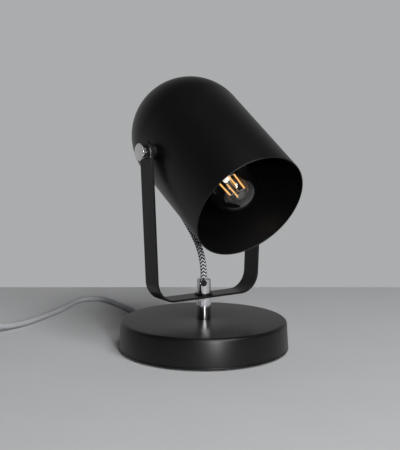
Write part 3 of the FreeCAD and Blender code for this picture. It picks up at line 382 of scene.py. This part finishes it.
sleeve = zigzag_sleeve()
mains_lead, mains_path, mains_length = braided_tube("mains_lead", in_metres(MAINS_ROUTE))
coil_route = in_metres(LINK_ROUTE) + coil_turns()[1:-1] + in_metres(TAIL_ROUTE)
plug_lead, plug_path, plug_length = braided_tube("plug_lead", coil_route)
head_lead, head_path, head_length = braided_tube("head_lead", in_metres(HEAD_ROUTE))
for lead in (mains_lead, plug_lead, head_lead):
    lead.data.materials.append(sleeve.material)
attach(mains_lead, "base")
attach(plug_lead, "base")
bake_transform(head_lead)
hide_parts("mains_cord")
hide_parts("link_cord", "cord_coil", "tail_cord")
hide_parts("head_cord")

# Base cover: a pressed steel drum with a rolled hem, powder coated satin black. Its top edge is
# rounded over and a fine groove sets off the hem. It is clamped by the stem, over the weight.
MM = 0.001


def softened(corners, steps=6):
    """Turns outline corners (across, up, radius) into points, with an arc at each corner."""
    spots = []
    most_of_side, sharp_below = 0.49, 1e-4
    for i, (x, y, radius) in enumerate(corners):
        here = Vector((x, y))
        before = Vector(corners[i - 1][:2]) - here
        after = Vector(corners[(i + 1) % len(corners)][:2]) - here
        half = before.angle(after) / 2
        reach = min(radius / math.tan(half), before.length * most_of_side,
                    after.length * most_of_side)
        if reach < sharp_below:
            spots.append((x, y))
            continue
        before.normalize()
        after.normalize()
        centre = here + (before + after).normalized() * (reach / math.cos(half))
        first = here + before * reach - centre
        last = here + after * reach - centre
        sweep = first.angle(last)
        for step in range(steps + 1):
            share = step / steps
            arm = first * math.sin((1 - share) * sweep) + last * math.sin(share * sweep)
            spots.append(tuple(centre + arm / math.sin(sweep)))
    return spots


def lathe(name, outline, finish, place=None, segments=144, trim=None):
    """Turns an outline of (radius, height) in millimetres round its axis, then puts it in place.

    trim, where given, is the largest radius at an angle, for a notched rim."""
    bm = bmesh.new()
    rings = []
    widest = max(radius for radius, height in outline)
    for radius, height in outline:
        if radius < 1e-6:
            rings.append([bm.verts.new((0, 0, height * MM))] * segments)
            continue
        ring = []
        for k in range(segments):
            a = math.tau * k / segments
            r = min(radius, trim(a) - (widest - radius)) if trim else radius
            ring.append(bm.verts.new((r * MM * math.cos(a), r * MM * math.sin(a), height * MM)))
        rings.append(ring)
    for i, ring in enumerate(rings):
        above = rings[(i + 1) % len(rings)]
        for k in range(segments):
            n = (k + 1) % segments
            corners = list(dict.fromkeys((ring[k], ring[n], above[n], above[k])))
            if len(corners) > 2:
                bm.faces.new(corners)
    bmesh.ops.recalc_face_normals(bm, faces=bm.faces)
    mesh = bpy.data.meshes.new(name)
    bm.to_mesh(mesh)
    bm.free()
    if place:
        mesh.transform(place)
    return smoothed(name, mesh, finish)


def smoothed(name, mesh, finish):
    """Adds a mesh as a piece that is shaded smooth, except over its sharp edges."""
    mesh.polygons.foreach_set("use_smooth", [True] * len(mesh.polygons))
    mesh.set_sharp_from_angle(angle=math.radians(38))
    return add_piece(name, mesh, finish)


def satin_paint():
    """Near-black powder coat: a soft sheen with a very fine skin."""
    paint = Finish("satin_black_paint", IOR=1.4)
    cloud = paint.grain(22, 3)
    skin = paint.grain(1500, 2)
    paint.paint("Base Color", paint.between(cloud, (0.0028, 0.0028, 0.0032),
                                            (0.0044, 0.0044, 0.0050)))
    paint.paint("Roughness", 0.30 + cloud * 0.05 + skin * 0.04)
    return paint.relief(skin, 0.000012)


satin_black = satin_paint()
base_cover = lathe("base_shell", softened([
    (5.05, 26.4, 0), (5.05, 27.6, 0.2), (78.34, 27.6, 3.3), (79.84, 3.3, 0.25),
    (79.42, 3.05, 0.12), (79.42, 2.75, 0.12), (79.95, 2.45, 0.3), (80.0, 0.9, 0.9),
    (77.4, 0.9, 0.4), (77.4, 3.9, 0.3), (78.72, 4.2, 0.2), (77.14, 26.4, 2.0)]),
    satin_black, segments=256)
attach(base_cover, "base")
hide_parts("base_cover")

# Inside the base: a cast-iron weight on a thin foam pad, held up by the stem's nut and washer.
# These keep their CAD shapes, for only the underside shows them.


def carry(finish, *names):
    """Gives CAD nodes that stay in view their finish."""
    for name in names:
        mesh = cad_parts[name].data
        mesh.materials.clear()
        mesh.materials.append(finish.material)


cast_iron = Finish("painted_cast_iron", Metallic=0.6)
pores = cast_iron.grain(420, 4)
cast_iron.paint("Base Color", cast_iron.between(pores, (0.030, 0.030, 0.033),
                                                (0.075, 0.074, 0.078)))
cast_iron.paint("Roughness", 0.62 + pores * 0.2)
cast_iron.relief(pores, 0.0002)
carry(cast_iron, "base_weight")

foam = Finish("closed_cell_foam", Sheen_Weight=0.1)
cells = foam.node("ShaderNodeTexVoronoi", None, {"Vector": foam.place(), "Scale": 900.0})
foam.paint("Base Color", foam.between(cells, (0.012, 0.012, 0.013), (0.035, 0.035, 0.036)))
foam.paint("Roughness", 0.85 + cells * 0.1)
foam.relief(cells, 0.00012)
carry(foam, "foot_pad")

zinc = Finish("bright_zinc", Metallic=1.0)
drawn = zinc.grain(700, 3)
zinc.paint("Base Color", zinc.between(drawn, (0.48, 0.49, 0.51), (0.62, 0.63, 0.65)))
zinc.paint("Roughness", 0.24 + drawn * 0.16)
zinc.relief(drawn, 0.00001)
carry(zinc, "threaded_tube", "base_nut", "lock_washer", "holder_tube", "holder_nut",
      "pivot_nuts", "switch_screws")

# Stem: a polished chrome spacer stands on the cover. The strap and a black washer sit on it, and
# the chrome cord grip is screwed down on top with a black screw in its side.


def polished_chrome():
    """Bright chrome with a faint haze and hairlines along the stem."""
    chrome = Finish("polished_chrome", Metallic=1.0)
    haze = chrome.grain(60, 2)
    hairs = chrome.grain(500, 2, chrome.place(scale=(1, 1, 0.05)))
    chrome.paint("Base Color", chrome.between(haze, (0.70, 0.70, 0.72), (0.78, 0.78, 0.80)))
    chrome.paint("Roughness", 0.07 + haze * 0.05 + hairs * 0.03)
    return chrome.relief(hairs, 0.000004)


def eased_copy(name, node, edge, finish, sharper=24, flat=0.4, segments=3):
    """The CAD node's own shape, with its crisp edges rounded over by edge millimetres."""
    bm = bmesh.new()
    bm.from_mesh(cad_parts[node].data)
    bmesh.ops.remove_doubles(bm, verts=bm.verts, dist=2e-6)
    bmesh.ops.dissolve_limit(bm, angle_limit=math.radians(flat), verts=bm.verts, edges=bm.edges)
    crisp = [e for e in bm.edges if len(e.link_faces) == 2
             and e.calc_face_angle(0) > math.radians(sharper)]
    bmesh.ops.bevel(bm, geom=crisp, offset=edge * MM, segments=segments, profile=0.5,
                    affect="EDGES", clamp_overlap=True)
    mesh = bpy.data.meshes.new(name)
    bm.to_mesh(mesh)
    bm.free()
    piece = smoothed(name, mesh, finish)
    flat_faces_win(mesh)
    return piece


def flat_faces_win(mesh):
    """Shades each point like its largest faces, so flat sides stay flat beside the rounding."""
    weight, same_side = 1.5, 0.2
    ways = np.empty(len(mesh.polygons) * 3)
    mesh.polygons.foreach_get("normal", ways)
    areas = np.empty(len(mesh.polygons))
    mesh.polygons.foreach_get("area", areas)
    sides = np.empty(len(mesh.polygons), dtype=int)
    mesh.polygons.foreach_get("loop_total", sides)
    points = np.empty(len(mesh.loops), dtype=int)
    mesh.loops.foreach_get("vertex_index", points)
    pull = np.repeat(ways.reshape(-1, 3) * areas[:, None] ** weight, sides, axis=0)
    own = np.repeat(ways.reshape(-1, 3), sides, axis=0)
    total = np.zeros((len(mesh.vertices), 3))
    np.add.at(total, points, pull)
    total /= np.maximum(np.linalg.norm(total, axis=1), 1e-18)[:, None]
    near = (total[points] * own).sum(axis=1) > same_side
    mesh.normals_split_custom_set(np.where(near[:, None], total[points], own))


chrome = polished_chrome()
spacer = lathe("stem_spacer", softened([
    (5.05, 27.6, 0), (7.0, 27.6, 0.4), (7.0, 49.0, 0.4), (5.05, 49.0, 0)]), chrome)
washer = lathe("stem_washer", softened([
    (5.05, 51.0, 0), (8.4, 51.0, 0.35), (8.4, 52.5, 0.35), (5.05, 52.5, 0)]), satin_black)
grip = eased_copy("stem_grip", "cord_grip", 0.25, chrome, flat=0.05)
for piece, node, slot in ((spacer, "spacer_tube", "chrome"), (grip, "cord_grip", "chrome"),
                          (washer, "strap_washer", "satin_black_steel")):
    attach(piece, "base")
    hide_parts(node)

moulding = Finish("black_moulding", IOR=1.3)
spark = moulding.grain(1800, 2)
moulding.paint("Base Color", moulding.between(spark, (0.003, 0.003, 0.0033),
                                              (0.006, 0.006, 0.0064)))
moulding.paint("Roughness", 0.42 + spark * 0.14)
moulding.relief(spark, 0.00003)
grip_screw = eased_copy("stem_grip_screw", "grip_screw", 0.2, moulding)
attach(grip_screw, "base")
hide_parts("grip_screw")

# Strap: 20 x 2 mm flat steel bent to a U, satin black, with its edges eased and its ends round.
# It turns on the stem and its arms splay out a little to the tilt knobs.
strap = eased_copy("strap", "yoke_strap", 0.45, satin_black)
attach(strap, "yoke")
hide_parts("yoke_strap")

# Shade: one spun steel shell, a dome that runs into a barely tapered drum, satin black inside
# and out. The edge of the mouth is rounded, and a bush closes the hole at the apex.
PIVOT_HEIGHT = 0.1848
TILT = math.radians(33.8)
in_head = Matrix.Translation((0, 0, PIVOT_HEIGHT)) @ Matrix.Rotation(math.pi / 2 + TILT, 4, "X")
DOME_START, DOME_OUTSIDE, DOME_INSIDE, APEX_HOLE = -27.0, 55.5, 54.5, 4.6
MOUTH = 85.4


def dome(radius, hole, steps=44):
    """Points from the wall to the apex hole, round the dome."""
    last = math.asin(hole / radius)
    angles = [math.pi / 2 + (last - math.pi / 2) * i / steps for i in range(steps + 1)]
    return [(radius * math.sin(a), DOME_START - radius * math.cos(a)) for a in angles]


rim = softened([(DOME_INSIDE, DOME_START, 0), (51.7, MOUTH, 0.45), (52.7, MOUTH, 0.45),
                (DOME_OUTSIDE, DOME_START, 0)])
dome_inside = list(reversed(dome(DOME_INSIDE, APEX_HOLE)))
shade = lathe("lamp_shade", rim[:-1] + dome(DOME_OUTSIDE, APEX_HOLE) + dome_inside[:-1],
              satin_black, in_head, segments=256)
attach(shade, "head")
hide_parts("shade")

# Tilt screws: chrome thumb screws, each with a smooth neck and a thin rim with fourteen
# notches. The faces are finely mottled. Black spacers hold the shade between the arms.


KNOB_RIM, RIM_THICKNESS = 7.9, 1.3
KNOB_NECK, NECK_TO_FACE = 6.5, 6.5
SCREW_RADIUS = 2.5


def knob_finish():
    """Smooth chrome, with a finely mottled skin on the end face alone. The end face is also painted
    lighter than the sides: partly its satin skin, partly painted light for the bright light it
    catches from the left.
    """
    metal = Finish("knob_metal", Metallic=1.0)
    mottle = metal.grain(2200, 3)
    patch = metal.grain(240, 2)
    out = metal.node("ShaderNodeSeparateXYZ", None, {0: metal.place()}, output=0)
    face_skin = 0.0002
    on_face = out * out > (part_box("tilt_knob_right")[1][0] - face_skin) ** 2
    # Painted light in part: the face's high base colour stands in for the bright light it catches.
    metal.paint("Base Color", metal.between(on_face * (0.6 + mottle * 0.4), (0.66, 0.66, 0.67),
                                            (0.96, 0.96, 0.96)))
    metal.paint("Roughness", 0.08 + on_face * (0.10 + mottle * 0.14 + patch * 0.06))
    return metal.relief(mottle * on_face, 0.00002)


def notched(angle, notches=14, cutter=0.8):
    """The knob's radius at an angle: a circle with round notches."""
    pitch = math.tau / notches
    off = (angle + pitch / 2) % pitch - pitch / 2
    middle = KNOB_RIM + 0.2
    beside = cutter ** 2 - (middle * math.sin(off)) ** 2
    if beside < 0:
        return KNOB_RIM
    return min(KNOB_RIM, middle * math.cos(off) - math.sqrt(beside))


knob_metal = knob_finish()
for side, label in ((1, "right"), (-1, "left")):
    on_axis = Matrix.Translation((0, 0, PIVOT_HEIGHT)) @ Matrix.Rotation(side * math.pi / 2, 4, "Y")
    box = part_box(f"tilt_knob_{label}")
    tip, face = sorted(abs(corner[0]) / MM for corner in box)
    rim_back = face - RIM_THICKNESS
    neck = face - NECK_TO_FACE
    knob = lathe(f"knob_{label}", softened([
        (0, tip, 0), (SCREW_RADIUS, tip, 0.5), (SCREW_RADIUS, neck, 0), (KNOB_NECK, neck, 0.3),
        (KNOB_NECK, rim_back, 0.1), (KNOB_RIM, rim_back, 0.3), (KNOB_RIM, face, 0.2),
        (0, face, 0)], steps=4), knob_metal, on_axis, segments=280, trim=notched)
    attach(knob, f"knob_{label}")
    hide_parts(f"tilt_knob_{label}")
spacers = eased_copy("shade_spacers", "pivot_spacers", 0.3, moulding, flat=0.05)
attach(spacers, "head")
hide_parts("pivot_spacers")

# Bushes: small black mouldings with a round flange and a tapered tail. One leads the cord out
# at the back of the base, and the other leads it into the apex of the shade.
OUTLET_HEIGHT = 0.0095
at_back = Matrix.Translation((0, 0, OUTLET_HEIGHT)) @ Matrix.Rotation(-math.pi / 2, 4, "X")
base_bush = lathe("base_cord_bush", softened([
    (3.1, 72.2, 0.3), (5.4, 72.2, 0.3), (5.9, 75.8, 0.3), (5.9, 77.05, 0.2), (4.45, 77.05, 0),
    (4.45, 80.05, 0), (6.2, 80.05, 0.3), (6.2, 81.85, 0.7), (5.0, 82.6, 0.8),
    (4.0, 105.85, 0.35), (3.1, 105.85, 0.3)]), moulding, at_back, segments=72)
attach(base_bush, "base")
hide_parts("cord_bush")
APEX = 82.309
apex_bush = lathe("apex_cord_bush", softened([
    (3.1, -APEX + 5.6, 0.3), (4.2, -APEX + 5.6, 0.3), (5.4, -APEX + 2.6, 0.3),
    (5.4, -APEX + 1.6, 0.2), (4.5, -APEX + 1.6, 0), (4.5, -APEX - 0.05, 0),
    (6.2, -APEX - 0.05, 0.3), (6.2, -APEX - 1.65, 0.6), (5.4, -APEX - 2.45, 0.6),
    (4.1, -APEX - 6.05, 0.35), (3.1, -APEX - 6.05, 0.3)]), moulding, in_head, segments=72)
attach(apex_bush, "head")
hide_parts("shade_bush")

# Lampholder: a black two-part moulded case with fine ribs, carried by a bright steel bracket
# that the tilt screws clamp inside the shade. A ceramic core holds the brass screw shell.


def ring_of(name, piece, count, start, place, finish):
    """Copies of a piece, spaced evenly round its Z axis by a node tree, then made one mesh."""
    tree = bpy.data.node_groups.new(f"{name}_ring", "GeometryNodeTree")
    wanted = {}
    for label, kind in (("Piece", "NodeSocketObject"), ("Count", "NodeSocketInt"),
                        ("Start", "NodeSocketFloat")):
        wanted[label] = tree.interface.new_socket(label, in_out="INPUT", socket_type=kind)
    tree.interface.new_socket("Geometry", in_out="OUTPUT", socket_type="NodeSocketGeometry")
    given = tree.nodes.new("NodeGroupInput")
    points = tree.nodes.new("GeometryNodePoints")
    index = tree.nodes.new("GeometryNodeInputIndex")
    step = tree.nodes.new("ShaderNodeMath")
    step.operation = "DIVIDE"
    step.inputs[0].default_value = math.tau
    turn = tree.nodes.new("ShaderNodeMath")
    turn.operation = "MULTIPLY_ADD"
    around = tree.nodes.new("ShaderNodeCombineXYZ")
    rotation = tree.nodes.new("FunctionNodeEulerToRotation")
    shape = tree.nodes.new("GeometryNodeObjectInfo")
    copies = tree.nodes.new("GeometryNodeInstanceOnPoints")
    real = tree.nodes.new("GeometryNodeRealizeInstances")
    coat = tree.nodes.new("GeometryNodeSetMaterial")
    coat.inputs["Material"].default_value = finish.material
    out = tree.nodes.new("NodeGroupOutput")
    for source, target in (
            (given.outputs["Count"], points.inputs["Count"]),
            (given.outputs["Count"], step.inputs[1]),
            (index.outputs[0], turn.inputs[0]), (step.outputs[0], turn.inputs[1]),
            (given.outputs["Start"], turn.inputs[2]), (turn.outputs[0], around.inputs["Z"]),
            (around.outputs[0], rotation.inputs[0]), (given.outputs["Piece"], shape.inputs[0]),
            (points.outputs[0], copies.inputs["Points"]),
            (shape.outputs["Geometry"], copies.inputs["Instance"]),
            (rotation.outputs[0], copies.inputs["Rotation"]),
            (copies.outputs[0], real.inputs[0]), (real.outputs[0], coat.inputs["Geometry"]),
            (coat.outputs[0], out.inputs[0])):
        tree.links.new(source, target)
    holder = add_piece(f"{name}_holder", bpy.data.meshes.new(f"{name}_holder"))
    maker = holder.modifiers.new("ring", "NODES")
    maker.node_group = tree
    for label, value in (("Piece", piece), ("Count", count), ("Start", start)):
        maker[wanted[label].identifier] = value
    seen = holder.evaluated_get(bpy.context.evaluated_depsgraph_get())
    mesh = bpy.data.meshes.new_from_object(seen)
    mesh.name = name
    holder.modifiers.remove(maker)
    bpy.data.objects.remove(holder)
    bpy.data.objects.remove(piece)
    mesh.materials.clear()
    mesh.transform(place)
    return smoothed(name, mesh, finish)


def joined(name, pieces, finish):
    """Several finished meshes as one piece."""
    bm = bmesh.new()
    for piece in pieces:
        bm.from_mesh(piece.data)
        bpy.data.objects.remove(piece)
    mesh = bpy.data.meshes.new(name)
    bm.to_mesh(mesh)
    bm.free()
    return smoothed(name, mesh, finish)


holder_cap = lathe("lampholder_cap", softened([
    (5.05, -34.5, 0), (11, -34.5, 0.6), (14.5, -32, 1.5), (19.5, -21.5, 2.5),
    (19.5, -8.1, 0.3), (17.5, -8.1, 0), (17.5, -20.5, 1), (12.5, -29.5, 1),
    (9, -32.5, 0.5), (5.05, -32.5, 0)]), moulding, in_head, segments=112)
RIB_COUNT, RIB_RADIUS, RIB_LENGTH = 48, 0.45, 22
rib = lathe("rib", softened([
    (0, 0, 0), (RIB_RADIUS, 0, 0.35), (RIB_RADIUS, RIB_LENGTH, 0.35), (0, RIB_LENGTH, 0)]),
    moulding, Matrix.Translation((0.01848, 0, 0.0025)), segments=12)
ribs = ring_of("lampholder_ribs", rib, RIB_COUNT, 0.0, in_head, moulding)
case = lathe("lampholder_case", softened([
    (17.5, -7.9, 0), (19.5, -7.9, 0.3), (19.5, -5, 0.4), (18.5, -4, 0.4), (18.5, 26, 0.7),
    (17.5, 27, 0.7), (14.7, 27, 0.5), (14.7, -2, 0), (17.5, -3, 0)]), moulding, in_head,
    segments=112)
holder_case = joined("lampholder_body", [case, ribs], moulding)
bracket = eased_copy("lampholder_bracket", "holder_bracket", 0.3, zinc)
for piece, node, slot in ((holder_cap, "holder_cap", "black_moulding"),
                          (holder_case, "holder_body", "black_moulding"),
                          (bracket, "holder_bracket", "zinc_steel")):
    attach(piece, "head")
    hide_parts(node)

glaze = Finish("glazed_ceramic", Coat_Roughness=0.08)
speck = glaze.grain(300, 3)
glaze.paint("Base Color", glaze.between(speck, (0.70, 0.68, 0.61), (0.78, 0.76, 0.70)))
glaze.paint("Roughness", 0.25 + speck * 0.2)
glaze.paint("Coat Weight", 0.5 + speck * 0.4)
glaze.relief(speck, 0.00005)
carry(glaze, "holder_core", "bulb_insulator")
brass = Finish("plain_brass", Metallic=1.0)
dull = brass.grain(420, 3)
brass.paint("Base Color", brass.between(dull, (0.66, 0.45, 0.18), (0.80, 0.58, 0.27)))
brass.paint("Roughness", 0.22 + dull * 0.2)
brass.relief(dull, 0.00001)
carry(brass, "holder_shell", "holder_contact", "bulb_contact", "switch_contacts")

# Bulb: a clear blown globe on a rolled nickel screw cap. Inside, a glass mount carries four
# amber coated filament rods, each held at both ends by short wires.


def clear_glass():
    """Clear glass with the faintest draw marks."""
    glass = Finish("clear_glass", IOR=1.46, Transmission_Weight=1.0)
    draw = glass.grain(40, 2)
    glass.paint("Base Color", glass.between(draw, (0.965, 0.975, 0.975), (1.0, 1.0, 1.0)))
    glass.paint("Roughness", draw * 0.012)
    return glass


def pressed_glass_painted_glow():
    """The milky bead of glass that is squeezed round the wires at the top of the mount. Its glow is
    painted light, a painted highlight on the bead, since the bulb is not lit.
    """
    milk = Finish("pressed_glass_painted_glow", IOR=1.46, Coat_Weight=0.6, Coat_Roughness=0.06,
                  Emission_Strength=0.8)
    swirl = milk.grain(300, 2)
    milk.paint("Base Color", milk.between(swirl, (0.80, 0.82, 0.82), (0.92, 0.93, 0.93)))
    # Painted glow: the emission makes the bead shine white, a painted highlight.
    milk.paint("Emission Color", milk.between(swirl, (0.90, 0.86, 0.78), (1.0, 0.97, 0.90)))
    milk.paint("Roughness", 0.16 + swirl * 0.12)
    return milk


glass = clear_glass()
GLOBE_CENTRE = 53.8


def globe(radius, low, steps=40):
    """Points from the tip of the globe to its neck."""
    last = math.pi - math.asin(low / radius)
    angles = [last * i / steps for i in range(steps + 1)]
    return [(radius * math.sin(a), GLOBE_CENTRE + radius * math.cos(a)) for a in angles]


outer = globe(22.5, 15.5) + softened([
    (15.5, 37.5, 0), (12.9, 26.1, 2.0), (12.2, 25.3, 0.5), (12.2, 13.3, 0), (15.5, 20, 0)])[1:-1]
inner = softened([
    (14.7, 20, 0), (11.4, 13.3, 0), (11.4, 25.7, 0.5), (12.1, 26.9, 2.0), (14.7, 37.6, 0)])[1:-1]
bulb = lathe("bulb_globe", outer + inner + list(reversed(globe(21.7, 14.7))), glass, in_head,
             segments=192)
press = lathe("bulb_press", softened([
    (2.3, 38.0, 0), (3.6, 38.4, 0.5), (3.9, 43.6, 1.2), (2.3, 45.8, 0.5)]), pressed_glass_painted_glow(),
    in_head, segments=64)
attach(press, "head")
mount = lathe("bulb_stem", softened([
    (0, 13.3, 0), (11.2, 13.3, 0.3), (8.5, 19.3, 3), (5.0, 25.3, 4), (2.3, 30.3, 3),
    (2.07, 49.8, 1), (1.4, 63.8, 0.6), (0, 64.8, 0)]), glass, in_head, segments=64)
for piece, node in ((bulb, "bulb_glass"), (mount, "bulb_mount")):
    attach(piece, "head")
    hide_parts(node)

nickel = Finish("nickel_plate", Metallic=1.0)
bloom = nickel.grain(160, 3)
nickel.paint("Base Color", nickel.between(bloom, (0.58, 0.56, 0.52), (0.68, 0.66, 0.62)))
nickel.paint("Roughness", 0.18 + bloom * 0.14)
nickel.relief(bloom, 0.00001)
CREST_DEPTH, CREST_STEP, STEPS_PER_PAIR = 0.7, 0.27, 12
screw_thread = [(12.4 + CREST_DEPTH * math.sin(math.tau * i / STEPS_PER_PAIR) ** 2,
                 9.2 + i * CREST_STEP) for i in range(60)]
screw_cap = lathe("bulb_cap", [(8.7, 5.2), (9.0, 4.5), (12.6, 8.0)] + screw_thread + [
    (12.9, 25.2), (12.3, 25.2), (12.1, 24.6), (12.1, 9.4)], nickel, in_head, segments=112)
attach(screw_cap, "head")
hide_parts("bulb_screw_cap")

# The rods' emission is painted glow that stands in for their bright highlights; the bulb is not
# lit.
amber = Finish("amber_coating_painted_glow", Emission_Strength=0.85)
lumps = amber.grain(900, 2)
amber.paint("Base Color", amber.between(lumps, (0.80, 0.36, 0.06), (0.95, 0.52, 0.14)))
amber.paint("Emission Color", amber.between(lumps, (0.95, 0.42, 0.10), (1.0, 0.60, 0.25)))
amber.paint("Roughness", 0.35 + lumps * 0.2)
amber.relief(lumps, 0.00004)
ROD_COUNT, ROD_RADIUS, ROD_LENGTH = 4, 0.75, 20
LEAN, FIRST_ROD = math.radians(-3), math.radians(30)
leaning = Matrix.Translation((0.0082, 0, 0.0418)) @ Matrix.Rotation(LEAN, 4, "Y")
rod = lathe("rod", softened([
    (0, 0, 0), (ROD_RADIUS, 0, 0.7), (ROD_RADIUS, ROD_LENGTH, 0.7), (0, ROD_LENGTH, 0)]),
    amber, leaning, segments=24)
rods = ring_of("filament_rods", rod, ROD_COUNT, FIRST_ROD, in_head, amber)
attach(rods, "head")
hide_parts("filaments")

steel_wire = Finish("lead_wire", Metallic=1.0)
drawn_wire = steel_wire.grain(1200, 2)
steel_wire.paint("Base Color", steel_wire.between(drawn_wire, (0.42, 0.42, 0.44),
                                                  (0.56, 0.56, 0.58)))
steel_wire.paint("Roughness", 0.28 + drawn_wire * 0.15)
carry(steel_wire, "filament_wires")

# Coil tie: a band of woven hook-and-loop tape, black and matt, that is closed round the four
# turns of the coil and holds them together.
woven = Finish("woven_tape", Sheen_Weight=0.4)
warp = woven.grain(1400, 2, woven.place(scale=(1, 1, 0.2)))
loops = woven.node("ShaderNodeTexVoronoi", None, {"Vector": woven.place(), "Scale": 1500.0})
woven.paint("Base Color", woven.between(loops, (0.010, 0.010, 0.011), (0.035, 0.035, 0.037)))
woven.paint("Roughness", 0.80 + warp * 0.15)
woven.relief(loops + warp * 0.5, 0.00025)
tie = eased_copy("cord_tie", "coil_tie", 0.25, woven)
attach(tie, "base")
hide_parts("coil_tie")

# In-line switch: two black moulded shells joined by screws from below, with a rocker on top.
# The rims are rounded and the rocker has a hollow in its middle.
for name, node, edge, body in (("switch_base", "switch_lower", 0.3, "base"),
                               ("switch_cover", "switch_upper", 0.3, "base"),
                               ("rocker", "switch_rocker", 0.45, "rocker")):
    piece = eased_copy(name, node, edge, moulding, sharper=40)
    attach(piece, body)
    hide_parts(node)

# Plug: a flat black two-pin moulding, waisted towards the cord, with rounded edges and round
# nickel pins whose tips are domed.
plug = eased_copy("plug", "plug_body", 0.4, moulding, sharper=30)
pins = eased_copy("plug_pin_pair", "plug_pins", 1.0, nickel, sharper=60, segments=5)
for piece, node, slot in ((plug, "plug_body", "black_moulding"), (pins, "plug_pins", "nickel")):
    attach(piece, "base")
    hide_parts(node)

# Flex inside: short hidden lengths of the same cord. One runs through the base and up the stem,
# the other from the apex of the shade into the lampholder. They keep their CAD shapes.
hidden_flex = Finish("hidden_flex_sleeve", Roughness=0.85)
flecks = hidden_flex.grain(900, 2)
hidden_flex.paint("Base Color", hidden_flex.between(flecks, (0.02, 0.02, 0.02),
                                                    (0.55, 0.55, 0.56)))
carry(hidden_flex, "flex_in_base", "flex_in_head")
